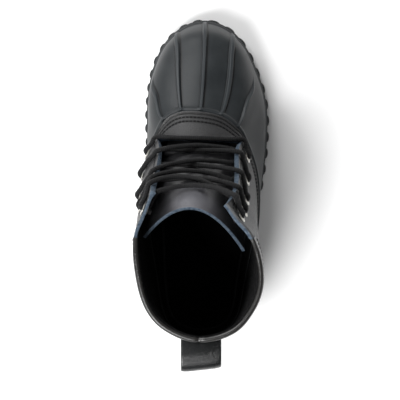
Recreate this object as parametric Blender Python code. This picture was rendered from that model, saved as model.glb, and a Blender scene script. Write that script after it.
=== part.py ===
"""Right-foot lace-up boot: moulded rubber bottom, leather shaft, laced throat.

Metres, +Z up, +Y towards the toe, +X towards the outer side of the foot. Sizes below are
millimetres in the last's own frame, whose origin is on the floor under the back of the heel.
The finished boot is then centred over the world's origin.
"""

import math

import bpy
import numpy as np

MM = 0.001

# Driving sizes
LENGTH = 300.0
BALL_WIDTH = 116.0
BOOT_HEIGHT = 200.0
GAP = 0.3

# Last: one row for each key column round the boot, from the back of the heel along the outer
# side to the toe and back along the inner side. x is a percentage of BALL_WIDTH, y of LENGTH
# and z of BOOT_HEIGHT. A rise is the wall's angle from the floor, leaning inwards below 90.
LAST_COLUMNS = (
    "foot_x", "foot_y", "rim_x", "rim_y", "rim_z", "top_x", "top_y", "top_z",
    "foot_rise", "rim_rise", "top_rise",
)
LAST_ROWS = {
    "heel_back": (0.4, 1.3, 0.4, 0.7, 34.0, -0.9, 3.75, 99.0, 98, 88, 90),
    "heel_lateral": (23.3, 4.3, 25.9, 4.2, 32.0, 20.9, 5.6, 99.0, 98, 90, 91),
    "side_lateral": (32.3, 15.0, 37.0, 16.7, 29.0, 34.8, 10.3, 99.0, 102, 96, 92),
    "waist_lateral": (40.5, 33.3, 45.3, 33.3, 27.2, 45.0, 21.0, 99.0, 100, 88, 90),
    "instep_lateral": (49.1, 50.0, 46.6, 46.3, 27.8, 38.2, 32.7, 99.0, 96, 78, 83),
    "ball_lateral": (53.0, 65.3, 41.8, 56.0, 30.8, 26.7, 38.2, 98.7, 95, 72, 75),
    "edge_lateral": (51.3, 75.3, 34.5, 62.7, 34.8, 17.2, 42.8, 98.4, 94, 62, 52),
    "rib_outer_lateral": (44.0, 84.3, 29.3, 65.2, 36.8, 8.6, 44.7, 98.4, 90, 38, 70),
    "rib_inner_lateral": (26.7, 95.0, 16.4, 68.7, 39.8, -0.9, 46.2, 98.4, 80, 27, 75),
    "rib_toe": (4.1, 98.7, 0.4, 70.0, 41.2, -10.3, 47.0, 98.4, 76, 22, 78),
    "rib_inner_medial": (-19.0, 95.3, -14.7, 70.0, 40.2, -19.0, 47.3, 98.4, 80, 26, 78),
    "rib_outer_medial": (-36.2, 84.7, -28.4, 67.2, 37.0, -27.6, 47.2, 98.4, 90, 38, 80),
    "edge_medial": (-40.5, 76.0, -34.5, 63.3, 34.2, -33.2, 46.7, 98.4, 95, 64, 84),
    "ball_medial": (-41.4, 66.7, -40.5, 58.7, 31.8, -41.4, 39.3, 98.7, 97, 86, 86),
    "instep_medial": (-38.8, 51.7, -44.0, 48.7, 29.0, -47.6, 32.7, 99.0, 100, 91, 90),
    "waist_medial": (-33.6, 35.0, -42.7, 34.7, 27.5, -45.3, 21.4, 99.0, 102, 94, 91),
    "side_medial": (-31.0, 15.7, -35.3, 16.7, 29.0, -34.7, 10.5, 99.0, 102, 96, 92),
    "heel_medial": (-22.0, 4.5, -24.6, 4.2, 32.0, -20.5, 6.0, 99.0, 98, 90, 91),
}
FOOT_PULL = 0.38
RIM_PULL = 0.42
SHAFT_PULL = 0.32
TOP_PULL = 0.33
COLUMN_SPACING = 0.0216
# The flaps' front edges lie this share of the way round behind their key columns.
THROAT_SET_BACK = 0.0085

# Sole heights: station as a percentage of LENGTH, underside and top above the floor.
SOLE_COLUMNS = ("station", "ground", "seat")
SOLE_ROWS = (
    (-3.0, 0.0, 25.0),
    (25.0, 0.0, 24.0),
    (32.0, 4.0, 22.0),
    (40.0, 0.0, 19.5),
    (60.0, 0.0, 17.0),
    (76.0, 0.0, 17.0),
    (84.0, 1.5, 18.3),
    (92.0, 5.0, 21.3),
    (101.0, 10.0, 26.0),
)
TREAD_DEPTH = 4.0
SLAB_MARGIN = 1.4
BAND_MARGIN = 3.0
BAND_HEIGHT = 6.5
BAND_BEVEL = 0.9
SLAB_COLUMNS = 80
LUGS_LATERAL = 22
LUGS_MEDIAL = 26
LUG_SHARE = 0.64
LUG_MARGIN = 3.4
LUG_CROWN = 0.5
LUG_REACH = 13.0
LUG_TAPER = 0.8
LUG_SHOULDER = 1.3
CLEAT_PITCH = 19.0
CLEAT_SIZE = 11.0
CLEAT_MARGIN = 25.0
CLEAT_ROOT = 2.0
CLEAT_STATIONS = ((20.0, 66.0), (128.0, 270.0))

# Insole
INSOLE_INSET = 5.2
INSOLE_THICKNESS = 3.5
INSOLE_COLUMNS = 60

# Rubber shell
SHELL_WALL = 3.0
SHELL_SHARES = (0.0, 0.19, 0.38, 0.58, 0.8, 1.0)
BEAD_WIDTH = 4.5
BEAD_CREST = 1.6
BEAD_HEIGHT = 1.1
BEAD_LIP = 0.7
FLANGE_HEIGHT = 5.0
FLANGE_WALL = 1.3
FLANGE_CLEAR = 0.6
RIB_NAMES = (
    "rib_outer_lateral", "rib_inner_lateral", "rib_toe", "rib_inner_medial", "rib_outer_medial",
)
RIB_HEIGHT = 1.5
RIB_HALF = 0.0062
RIB_CREST_HALF = 0.003
RIB_AT_FOOT = 0.5
RIB_ON_BEAD = 0.6

# Leather shaft
LEATHER = 2.4
CORNER_RISE = 11.0
THROAT_CREST = 13.0
SHAFT_SHARES = (0.25, 0.5, 0.75)
COLLAR_BAND = 14.0

# Collar binding: the section of the folded strip, outside and against the wall. Out is measured
# from the leather's outer face and up from the wall's top edge.
BINDING_FROM = "instep_medial"
BINDING_TO = "instep_lateral"
BINDING_COLUMNS = ("out", "up", "against_out", "against_up")
BINDING_ROWS = (
    (0.95, -14.0, 0.45, -14.0),
    (2.65, -12.0, 0.45, -12.0),
    (2.65, -1.0, 0.45, 0.45),
    (-1.2, 2.65, -1.2, 0.45),
    (-5.05, -1.0, -2.85, 0.45),
    (-5.05, -10.0, -2.85, -10.0),
    (-3.35, -12.0, -2.85, -12.0),
)

# Tongue: one row for each section up the tongue.
TONGUE_COLUMNS = ("middle_x", "crest_y", "crest_z", "half_width", "depth", "skew")
TONGUE_ROWS = (
    (-1.0, 199.0, 82.6, 19.0, 5.0, 0.0),
    (-1.0, 189.0, 85.2, 27.0, 10.5, 0.0),
    (-1.0, 178.0, 91.5, 32.0, 14.0, 0.0),
    (-2.0, 165.5, 115.0, 35.0, 19.0, 1.5),
    (-3.0, 151.0, 144.0, 38.0, 26.0, 3.0),
    (-4.0, 138.5, 167.0, 41.0, 33.0, 5.0),
    (-5.0, 123.0, 184.5, 44.0, 42.0, 8.0),
)
TONGUE_THICK = 2.0
TONGUE_ROWS_OUT = 10
TONGUE_COLUMNS_OUT = 9

# Pull loop: the strap's middle line, out from the back of the leg and up from the floor.
LOOP_COLUMNS = ("out", "up")
LOOP_ROWS = (
    (1.7, 146.0),
    (1.7, 157.0),
    (5.5, 163.0),
    (14.0, 166.0),
    (22.4, 170.5),
    (24.8, 176.5),
    (22.4, 182.0),
    (14.0, 184.0),
    (6.0, 183.2),
    (0.6, 181.6),
)
LOOP_THICK = 2.4
LOOP_FROM_X = -15.5
LOOP_TO_X = 17.3
LOOP_SKEW = 1.8
LOOP_STRIPS = 5
LOOP_FREE = 10.0

# Eyelets: one row for each, up the wall from the rim and behind the front edge, and how far up
# the front edge the lace to it goes over. The section is a radius and a height above the leather
# at each corner.
EYELET_COLUMNS = ("up", "inset", "over")
EYELET_ROWS = (
    (18.0, 15.4, 13.0),
    (50.0, 25.4, 47.0),
    (84.0, 27.4, 81.0),
    (113.0, 23.4, 110.0),
    (135.0, 18.4, 132.0),
)
EYELET_SIDES = 8
EYELET_HOLE = 3.5
EYELET_SECTION = ((2.2, -3.1), (3.0, -3.1), (3.0, 0.75), (5.0, 0.95), (2.6, 1.8))

# Lace
LACE_RADIUS = 2.0
LACE_SIDES = 6
LACE_CLEAR = 1.3
LACE_POINTS = 18
LACE_EDGE_ROUND = 1.0
LACE_START_RISE = 8.0
LACE_START_INSET = 5.5
LACE_EYELET_CLEAR = 7.5
LACE_OUTSIDE_SHARES = (0.33, 0.66, 1.0)
LACE_INSIDE_SHARES = (0.3, 0.5, 0.7)
LACE_VAMP_SHARES = (0.75, 0.5, 0.25)
LACE_VAMP_AHEAD = 0.4
LACE_VAMP_CLEAR = 0.6
LACE_DIPS = (0.0, 1.0, 9.0, 17.0)

FINE_STEPS = 49
SHARP_ANGLE = 40
CURVE_STEPS = 200
BACK_STEPS = 21
TONGUE_STEP = 0.01
TONGUE_LEVELS = 101
NEAR = 1e-9
SLOPE_STEP = 0.0005
FRAME_STEP = 0.002
INSET_REACH = 0.12


def table(columns, rows):
    """A table's columns by their names."""
    return dict(zip(columns, np.array(rows, float).T))


def smooth_table(places, values):
    """A curve through the rows of a table that never overshoots them."""
    places = np.asarray(places, float)
    values = np.asarray(values, float)
    widths = np.diff(places)[:, None]
    rates = np.diff(values, axis=0) / widths
    slopes = np.zeros_like(values)
    before, after = rates[:-1], rates[1:]
    same_way = before * after > 0
    total = np.where(same_way, before + after, 1.0)
    slopes[1:-1] = np.where(same_way, 2 * before * after / total, 0.0)
    slopes[0] = rates[0]
    slopes[-1] = rates[-1]

    def at(place):
        place = np.clip(np.asarray(place, float), places[0], places[-1])
        row = np.clip(np.searchsorted(places, place, side="right") - 1, 0, len(places) - 2)
        width = widths[row]
        t = ((place - places[row])[..., None]) / width
        rise = values[row + 1] - values[row]
        start, end = slopes[row] * width, slopes[row + 1] * width
        return values[row] + t * (start + t * (3 * rise - 2 * start - end + t * (start + end - 2 * rise)))

    return at


class ClosedSpline:
    """A smooth closed curve through the rows of a table, in a parameter that runs from 0 to 1."""

    def __init__(self, knots, values):
        count = len(knots)
        self.knots = np.asarray(knots, float)
        self.values = np.asarray(values, float)
        self.widths = np.diff(np.append(self.knots, 1.0))
        matrix = np.zeros((count, count))
        change = np.zeros_like(self.values)
        for row in range(count):
            before, after = (row - 1) % count, (row + 1) % count
            matrix[row, before] += self.widths[before]
            matrix[row, row] += 2 * (self.widths[before] + self.widths[row])
            matrix[row, after] += self.widths[row]
            forward = (self.values[after] - self.values[row]) / self.widths[row]
            backward = (self.values[row] - self.values[before]) / self.widths[before]
            change[row] = 6 * (forward - backward)
        self.bends = np.linalg.solve(matrix, change)

    def at(self, around):
        around = np.mod(np.asarray(around, float), 1.0)
        row = np.searchsorted(self.knots, around, side="right") - 1
        after = (row + 1) % len(self.knots)
        width = self.widths[row][:, None]
        right = (around - self.knots[row])[:, None] / width
        left = 1 - right
        bent = (left**3 - left) * self.bends[row] + (right**3 - right) * self.bends[after]
        return left * self.values[row] + right * self.values[after] + bent * width**2 / 6

    def slope(self, around):
        around = np.asarray(around, float)
        return (self.at(around + SLOPE_STEP) - self.at(around - SLOPE_STEP)) / (2 * SLOPE_STEP)


def last_spline():
    """The last's table in millimetres and degrees, with each key column's place round the boot."""
    whole = {"x": BALL_WIDTH, "y": LENGTH, "z": BOOT_HEIGHT}
    scale = [whole.get(name[-1], 100.0) / 100 for name in LAST_COLUMNS]
    rows = np.array(list(LAST_ROWS.values())) * scale
    steps = np.linalg.norm(np.roll(rows[:, :2], -1, axis=0) - rows[:, :2], axis=1)
    knots = np.concatenate([[0.0], np.cumsum(steps)[:-1]]) / steps.sum()
    return ClosedSpline(knots, rows), dict(zip(LAST_ROWS, knots))


LAST, KEY = last_spline()
KEY["edge_lateral"] -= THROAT_SET_BACK
KEY["edge_medial"] += THROAT_SET_BACK
SOLE_TABLE = table(SOLE_COLUMNS, SOLE_ROWS)
SOLE = smooth_table(
    SOLE_TABLE["station"] * LENGTH / 100, np.stack([SOLE_TABLE["ground"], SOLE_TABLE["seat"]], axis=1),
)
TONGUE = smooth_table(np.linspace(0, 1, len(TONGUE_ROWS)), TONGUE_ROWS)


def ground_height(y):
    return SOLE(y)[..., 0]


def seat_height(y):
    return SOLE(y)[..., 1]


def unit(vectors):
    return vectors / np.linalg.norm(vectors, axis=-1, keepdims=True)


def wall_way(slope, rise):
    """The direction up a wall that leans inwards from a rail by its rise."""
    inward = unit(np.stack([-slope[:, 1], slope[:, 0]], axis=1))
    angle = np.radians(rise)[:, None]
    return np.concatenate([np.cos(angle) * inward, np.sin(angle)], axis=1)


def rails(around):
    """Points and wall directions on the foot line, the rim and the top edge."""
    value = LAST.at(around)
    slope = LAST.slope(around)
    foot = np.concatenate([value[:, 0:2], seat_height(value[:, 1])[:, None] + GAP], axis=1)
    points = foot, value[:, 2:5], value[:, 5:8]
    ways = (
        wall_way(slope[:, 0:2], value[:, 8]),
        wall_way(slope[:, 2:4], value[:, 9]),
        wall_way(slope[:, 5:7], value[:, 10]),
    )
    return points, ways


def span(start, end):
    return np.linalg.norm(end - start, axis=1, keepdims=True)


def shell_wall(around):
    """Control points of the wall between the sole and the rim."""
    (foot, rim, _), (foot_way, rim_way, _) = rails(around)
    reach = span(foot, rim)
    return np.stack([foot, foot + FOOT_PULL * reach * foot_way, rim - RIM_PULL * reach * rim_way, rim])


def leg_wall(around):
    """Control points of the wall between the rim and the top edge of the leg."""
    (_, rim, top), (_, rim_way, top_way) = rails(around)
    reach = span(rim, top)
    return np.stack([rim, rim + SHAFT_PULL * reach * rim_way, top - TOP_PULL * reach * top_way, top])


def vamp_wall(around):
    """Control points of the strip between the rim's arch and the lower end of the throat."""
    (_, rim, _), (_, rim_way, _) = rails(around)
    edges = np.array([KEY["edge_lateral"], KEY["edge_medial"]])
    (_, rim_ends, _), _ = rails(edges)
    corners = walk(leg_wall(edges), np.full((1, 2), CORNER_RISE))[0]
    share = (rim[:, 0:1] - rim_ends[0, 0]) / (rim_ends[1, 0] - rim_ends[0, 0])
    throat = corners[0] + share * (corners[1] - corners[0])
    throat[:, 2] += THROAT_CREST * 4 * (share * (1 - share))[:, 0]
    reach = span(rim, throat)
    third = 1 / 3
    return np.stack([rim, rim + third * reach * rim_way, throat - third * (throat - rim), throat])


def fine_walk(control):
    """Points close together along each wall, and their lengths from its lower end."""
    t = np.linspace(0, 1, FINE_STEPS)[:, None, None]
    s = 1 - t
    points = s**3 * control[0] + 3 * s * s * t * control[1] + 3 * s * t * t * control[2] + t**3 * control[3]
    steps = np.linalg.norm(np.diff(points, axis=0), axis=2)
    lengths = np.concatenate([np.zeros((1, steps.shape[1])), np.cumsum(steps, axis=0)])
    return points, lengths


def walk(control, lengths):
    """Points on each wall at the given lengths from its lower end, a row for each length."""
    points, runs = fine_walk(control)
    found = np.empty((len(lengths), points.shape[1], 3))
    for column in range(points.shape[1]):
        for axis in range(3):
            found[:, column, axis] = np.interp(lengths[:, column], runs[:, column], points[:, column, axis])
    return found


def wall_length(control):
    return fine_walk(control)[1][-1]


def grid_normals(points, cells):
    """Outward unit normals at a grid's points, averaged over the cells that exist."""
    total = np.zeros_like(points)
    columns = points.shape[1]
    for row, column in zip(*np.nonzero(cells)):
        after = (column + 1) % columns
        corners = (row, column), (row, after), (row + 1, after), (row + 1, column)
        first = points[corners[2]] - points[corners[0]]
        second = points[corners[3]] - points[corners[1]]
        normal = np.cross(first, second)
        for corner in corners:
            total[corner] += normal
    lengths = np.linalg.norm(total, axis=2, keepdims=True)
    return total / np.where(lengths > 0, lengths, 1.0)


def wall_solid(outer, inner, cells):
    """Points and faces of the closed solid between two grids, over the cells that exist."""
    rows, columns = outer.shape[:2]
    faces = []
    for row, column in zip(*np.nonzero(cells)):
        after = (column + 1) % columns
        ring = [(row, column), (row, after), (row + 1, after), (row + 1, column)]
        beside = [(row - 1, column), (row, column + 1), (row + 1, column), (row, column - 1)]
        numbers = [r * columns + c for r, c in ring]
        faces.append(numbers)
        faces.append([number + rows * columns for number in reversed(numbers)])
        for side in range(4):
            r, c = beside[side]
            if cells.shape[1] == columns:
                c %= columns
            inside = 0 <= r < cells.shape[0] and 0 <= c < cells.shape[1] and cells[r, c]
            if not inside:
                start, end = numbers[side], numbers[(side + 1) % 4]
                faces.append([end, start, start + rows * columns, end + rows * columns])
    points = np.concatenate([outer.reshape(-1, 3), inner.reshape(-1, 3)])
    used = sorted({number for face in faces for number in face})
    place = {number: index for index, number in enumerate(used)}
    return points[used], [[place[number] for number in face] for face in faces]


def ring_solid(rings):
    """Points and faces of a solid of stacked closed rings, its ends closed from side to side."""
    count = rings.shape[1]
    half = count // 2
    faces = []
    for row in range(len(rings) - 1):
        low, high = row * count, (row + 1) * count
        for column in range(count):
            after = (column + 1) % count
            faces.append([low + column, low + after, high + after, high + column])
    for row, upwards in ((len(rings) - 1, True), (0, False)):
        base = row * count
        for column in range(half):
            strip = [column, column + 1, count - column - 1, (count - column) % count]
            strip = [base + number for number in dict.fromkeys(strip)]
            faces.append(strip if upwards else strip[::-1])
    return rings.reshape(-1, 3), faces


def prism(outline, low, high):
    """Points and faces of an upright block over a plan outline that runs anticlockwise."""
    count = len(outline)
    points = np.concatenate([np.column_stack([outline, low]), np.column_stack([outline, high])])
    faces = [list(range(count))[::-1], list(range(count, 2 * count))]
    for side in range(count):
        after = (side + 1) % count
        faces.append([side, after, after + count, side + count])
    return points, faces


def tube(path, radius, sides):
    """Points and faces of a round cord along a path, with flat ends."""
    ways = unit(np.gradient(path, axis=0))
    across = unit(np.cross(ways[0], (0.0, 0.0, 1.0)))
    rings = []
    for point, way in zip(path, ways):
        across = unit(across - way * across.dot(way))
        up = np.cross(way, across)
        angles = np.arange(sides) * 2 * math.pi / sides
        rings.append(point + radius * (np.outer(np.cos(angles), across) + np.outer(np.sin(angles), up)))
    faces = [list(range(sides))[::-1], [(len(path) - 1) * sides + side for side in range(sides)]]
    for ring in range(len(path) - 1):
        for side in range(sides):
            after = (side + 1) % sides
            low, high = ring * sides, (ring + 1) * sides
            faces.append([low + side, low + after, high + after, high + side])
    return np.concatenate(rings), faces


def joined(solids):
    """Several solids' points and faces in one list of each."""
    points, faces, count = [], [], 0
    for solid_points, solid_faces in solids:
        points.append(solid_points)
        faces += [[number + count for number in face] for face in solid_faces]
        count += len(solid_points)
    return np.concatenate(points), faces


def material(name, colour, roughness, metallic=0.0):
    made = bpy.data.materials.new(name)
    made.use_nodes = True
    shader = made.node_tree.nodes["Principled BSDF"]
    shader.inputs["Base Color"].default_value = (*colour, 1.0)
    shader.inputs["Roughness"].default_value = roughness
    shader.inputs["Metallic"].default_value = metallic
    return made


def make_object(name, solid, finish, parent):
    points, faces = solid
    mesh = bpy.data.meshes.new(name)
    mesh.from_pydata((points * MM).tolist(), [], faces)
    mesh.materials.append(finish)
    mesh.shade_smooth()
    mesh.set_sharp_from_angle(angle=math.radians(SHARP_ANGLE))
    made = bpy.data.objects.new(name, mesh)
    made.parent = parent
    bpy.context.scene.collection.objects.link(made)
    return made


def combine(target, helper, operation):
    helper.hide_render = True
    helper.display_type = "WIRE"
    change = target.modifiers.new(helper.name, "BOOLEAN")
    change.operation = operation
    change.solver = "EXACT"
    change.use_self = True
    change.object = helper


def outline(around, margin):
    """Plan points at a margin outside the foot line."""
    value = LAST.at(around)[:, 0:2]
    slope = LAST.slope(around)[:, 0:2]
    outward = unit(np.stack([slope[:, 1], -slope[:, 0]], axis=1))
    return value + margin * outward


def sole_ring(around, margin, height):
    plan = outline(around, margin)
    return np.column_stack([plan, height(plan[:, 1])])


def make_outsole(finish, parent):
    around = np.arange(SLAB_COLUMNS) / SLAB_COLUMNS
    slab = np.stack([
        sole_ring(around, SLAB_MARGIN, lambda y: ground_height(y) + TREAD_DEPTH),
        sole_ring(around, SLAB_MARGIN, lambda y: seat_height(y) - BAND_HEIGHT),
        sole_ring(around, BAND_MARGIN, lambda y: seat_height(y) - BAND_HEIGHT + BAND_BEVEL),
        sole_ring(around, BAND_MARGIN, lambda y: seat_height(y) - BAND_BEVEL),
        sole_ring(around, BAND_MARGIN - BAND_BEVEL, seat_height),
    ])
    outsole = make_object("outsole", ring_solid(slab), finish, parent)
    blocks = [edge_lug(middle, half) for middle, half in lug_places()] + cleats()
    combine(outsole, make_object("tread_blocks", joined(blocks), finish, parent), "UNION")


def lug_places():
    """Each lug's middle round the sole and half its length there."""
    toe = KEY["rib_toe"]
    places = []
    for start, end, count in ((0.0, toe, LUGS_LATERAL), (toe, 1.0, LUGS_MEDIAL)):
        pitch = (end - start) / count
        half = LUG_SHARE * pitch / 2
        places += [(start + (number + 0.5) * pitch, half) for number in range(count)]
    return places


def edge_lug(middle, half):
    """One lug that wraps from the underside up the side of the sole."""
    outer = outline(middle + np.array([-half, half]), LUG_MARGIN)
    crown = outline(np.array([middle]), LUG_MARGIN + LUG_CROWN)
    inner = outline(middle + np.array([half, -half]) * LUG_TAPER, -LUG_REACH)
    plan = np.concatenate([outer[:1], crown, outer[1:], inner])
    high = seat_height(plan[:, 1]) - BAND_HEIGHT - LUG_SHOULDER
    return prism(plan, ground_height(plan[:, 1]), high)


def cleats():
    """Square cleats in rows across the heel and the forefoot, every other row set over by half."""
    around = np.arange(SLAB_COLUMNS) / SLAB_COLUMNS
    plan = outline(around, 0.0)
    half = SLAB_COLUMNS // 2
    blocks = []
    for start, end in CLEAT_STATIONS:
        for number, y in enumerate(np.arange(start, end, CLEAT_PITCH)):
            right = np.interp(y, plan[:half, 1], plan[:half, 0]) - CLEAT_MARGIN
            left = np.interp(y, plan[:half:-1, 1], plan[:half:-1, 0]) + CLEAT_MARGIN
            places = max(1, int((right - left) // CLEAT_PITCH) + 1)
            shift = CLEAT_PITCH / 4 * (-1) ** number
            for place in range(places):
                x = (left + right) / 2 + (place - (places - 1) / 2) * CLEAT_PITCH + shift
                blocks.append(cleat(x, y))
    return blocks


def cleat(x, y):
    reach = CLEAT_SIZE / 2
    corners = ((-1, -1), (1, -1), (1, 1), (-1, 1))
    plan = np.array([(x + side * reach, y + end * reach) for side, end in corners])
    low = ground_height(plan[:, 1])
    return prism(plan, low, low + TREAD_DEPTH + CLEAT_ROOT)


def make_insole(finish, parent):
    around = np.arange(INSOLE_COLUMNS) / INSOLE_COLUMNS
    rings = np.stack([
        sole_ring(around, -INSOLE_INSET, lambda y: seat_height(y) + GAP),
        sole_ring(around, -INSOLE_INSET, lambda y: seat_height(y) + GAP + INSOLE_THICKNESS),
    ])
    make_object("insole", ring_solid(rings), finish, parent)


def column_places():
    """Places round the boot of the wall's columns: every key column's stretch in even steps,
    four columns to a rib, and one on each front edge of the shaft."""
    stops = [(KEY[name], KEY[name]) for name in ("heel_back", "edge_lateral", "edge_medial")]
    stops += [(KEY[name] - RIB_HALF, KEY[name] + RIB_HALF) for name in RIB_NAMES]
    stops = sorted(stops) + [(1.0, 1.0)]
    places = []
    for (start, end), (after, _) in zip(stops[:-1], stops[1:]):
        if end > start:
            middle = (start + end) / 2
            places += [start, middle - RIB_CREST_HALF, middle + RIB_CREST_HALF]
        steps = max(1, math.ceil((after - end) / COLUMN_SPACING))
        places += [end + (after - end) * step / steps for step in range(steps)]
    return np.array(places)


def rib_share(around):
    """1 on a rib's crest, 0 beside it."""
    share = np.zeros(len(around))
    for name in RIB_NAMES:
        away = np.abs(around - KEY[name])
        share = np.maximum(share, np.interp(away, (RIB_CREST_HALF, RIB_HALF), (1.0, 0.0)))
    return share


def in_throat(around):
    return (around > KEY["edge_lateral"] + NEAR) & (around < KEY["edge_medial"] - NEAR)


def upper_control(around):
    """Control points above the rim: the leg's wall, and in the throat the vamp strip."""
    control = leg_wall(around)
    throat = in_throat(around)
    control[:, throat] = vamp_wall(around[throat])
    return control


def make_shell(finish, parent):
    around = column_places()
    lower, upper = shell_wall(around), upper_control(around)
    total = wall_length(lower)
    up_to_bead = np.outer(SHELL_SHARES, total - BEAD_WIDTH)
    on_bead = np.stack([total - BEAD_CREST, total])
    above = np.zeros((1, len(around))) + FLANGE_HEIGHT
    base = np.concatenate([walk(lower, np.concatenate([up_to_bead, on_bead])), walk(upper, above)])
    normals = grid_normals(base, np.ones((len(base) - 1, len(around)), bool))
    rim = len(base) - 2
    order = list(range(rim + 1)) + [rim, rim + 1]
    base, normals = base[order], normals[order]
    normals[rim:] = shaft_grid()[2][[0, 0, 1]]
    rib = RIB_HEIGHT * rib_share(around)
    raised = np.tile(rib, (len(base), 1))
    raised[0] *= RIB_AT_FOOT
    raised[rim - 1] = BEAD_HEIGHT + RIB_ON_BEAD * rib
    raised[rim] = BEAD_LIP + RIB_ON_BEAD * rib
    raised[-2:] = -LEATHER - FLANGE_CLEAR
    depth = np.full(len(base), SHELL_WALL)
    depth[-2:] = LEATHER + FLANGE_CLEAR + FLANGE_WALL
    depth[rim] = depth[-1] - GAP
    outer = base + raised[..., None] * normals
    inner = base - depth[:, None, None] * normals
    plan = outline(around, -SHELL_WALL)
    inner[0] = np.column_stack([plan, seat_height(plan[:, 1]) + GAP])
    outer[0, :, 2] = seat_height(outer[0, :, 1]) + GAP
    cells = np.ones((len(base) - 1, len(around)), bool)
    make_object("rubber_shell", wall_solid(outer, inner, cells), finish, parent)


def shaft_lengths(around, control):
    """Lengths up the wall of the shaft's rows: to the throat's corner, then to the top edge."""
    total = wall_length(control)
    corner = np.where(in_throat(around), total, CORNER_RISE)
    lower = [np.full(len(around), GAP), np.full(len(around), FLANGE_HEIGHT), corner]
    upper = [corner + share * (total - COLLAR_BAND - corner) for share in SHAFT_SHARES]
    return np.stack(lower + upper + [total - COLLAR_BAND, total]), len(lower)


def shaft_grid():
    around = column_places()
    control = upper_control(around)
    lengths, low_rows = shaft_lengths(around, control)
    base = walk(control, lengths)
    cells = np.ones((len(base) - 1, len(around)), bool)
    closing = np.roll(in_throat(around), -1) | in_throat(around)
    cells[low_rows - 1 :, closing] = False
    return around, base, grid_normals(base, cells), cells


def make_shaft(finish, parent):
    _, base, normals, cells = shaft_grid()
    shaft = make_object("leather_shaft", wall_solid(base, base - LEATHER * normals, cells), finish, parent)
    holes = []
    for side in ("lateral", "medial"):
        for point, normal, _ in eyelet_places(side):
            ends = np.stack([point - 2 * LEATHER * normal, point + LEATHER * normal])
            holes.append(tube(ends, EYELET_HOLE, EYELET_SIDES))
    combine(shaft, make_object("eyelet_holes", joined(holes), finish, parent), "DIFFERENCE")


def make_binding(finish, parent):
    around, _, normals, _ = shaft_grid()
    control = leg_wall(around)
    total = wall_length(control)
    start, end = KEY[BINDING_FROM], KEY[BINDING_TO]
    columns = [index for index in range(len(around)) if around[index] >= start]
    columns += [index for index in range(len(around)) if around[index] <= end]
    normal = normals[-1]
    up = control[3] - control[2]
    up = unit(up - normal * np.sum(up * normal, axis=1, keepdims=True))

    def strip(out, height):
        on_wall = walk(control, (total + min(height, 0.0))[None])[0]
        return (on_wall + normal * out + up * max(height, 0.0))[columns]

    section = table(BINDING_COLUMNS, BINDING_ROWS)
    outer = np.stack([strip(*place) for place in zip(section["out"], section["up"])])
    inner = np.stack([strip(*place) for place in zip(section["against_out"], section["against_up"])])
    cells = np.ones((len(BINDING_ROWS) - 1, len(columns) - 1), bool)
    make_object("collar_binding", wall_solid(outer, inner, cells), finish, parent)


def tongue_row(up):
    """The tongue's sizes at a place from 0 at its base to 1 at its top, by their names."""
    return dict(zip(TONGUE_COLUMNS, np.moveaxis(TONGUE(up), -1, 0)))


def tongue_point(across, up):
    """Points on the tongue's outer face and the directions out of it: across from -1 on the inner
    side of the foot to 1, up from 0 at its base to 1."""
    across, up = np.broadcast_arrays(np.asarray(across, float), np.asarray(up, float))
    row = tongue_row(up)
    after = tongue_row(np.minimum(up + TONGUE_STEP, 1.0))
    before = tongue_row(np.maximum(up - TONGUE_STEP, 0.0))
    ahead, rise = after["crest_y"] - before["crest_y"], after["crest_z"] - before["crest_z"]
    out = unit(np.stack([np.zeros(up.shape), rise, -ahead], axis=-1))
    x = row["middle_x"] + row["half_width"] * across
    point = np.stack([x, row["crest_y"], row["crest_z"]], axis=-1)
    drop = row["depth"] * across**2 + row["skew"] * across
    return point - drop[..., None] * out, out


def make_tongue(finish, parent):
    across, up = np.meshgrid(np.linspace(1, -1, TONGUE_COLUMNS_OUT), np.linspace(0, 1, TONGUE_ROWS_OUT))
    outer, _ = tongue_point(across, up)
    cells = np.ones((TONGUE_ROWS_OUT - 1, TONGUE_COLUMNS_OUT - 1), bool)
    inner = outer - TONGUE_THICK * grid_normals(outer, cells)
    make_object("tongue", wall_solid(outer, inner, cells), finish, parent)


def leg_back(x, z):
    """The y of the leg's outer face at the back."""
    around = np.mod(np.linspace(KEY["heel_medial"] - 1, KEY["heel_lateral"], BACK_STEPS), 1.0)
    points, _ = fine_walk(leg_wall(around))
    columns = range(len(around))
    level_x = [np.interp(z, points[:, column, 2], points[:, column, 0]) for column in columns]
    level_y = [np.interp(z, points[:, column, 2], points[:, column, 1]) for column in columns]
    return np.interp(x, level_x, level_y)


def make_loop(finish, parent):
    strap = table(LOOP_COLUMNS, LOOP_ROWS)
    middle = np.stack([strap["out"], strap["up"]], axis=1)
    ways = unit(np.gradient(middle, axis=0))
    sides = np.stack([ways[:, 1], -ways[:, 0]], axis=1)
    across = np.linspace(LOOP_FROM_X, LOOP_TO_X, LOOP_STRIPS)
    faces = []
    for offset in (LOOP_THICK / 2, -LOOP_THICK / 2):
        line = middle + offset * sides
        grid = np.empty((len(line), LOOP_STRIPS, 3))
        for row, (out, z) in enumerate(line):
            free = np.clip(middle[row, 0] / LOOP_FREE, 0.0, 1.0)
            free = 0.0 if row == len(line) - 1 else free
            for column, x in enumerate(across):
                side = 2 * (x - LOOP_FROM_X) / (LOOP_TO_X - LOOP_FROM_X) - 1
                back = (1 - free) * leg_back(x, z) + free * leg_back(0.0, z)
                grid[row, column] = x, back - out + free * LOOP_SKEW * side, z
        faces.append(grid)
    cells = np.ones((len(middle) - 1, LOOP_STRIPS - 1), bool)
    make_object("pull_loop", wall_solid(faces[0], faces[1], cells), finish, parent)


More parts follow.
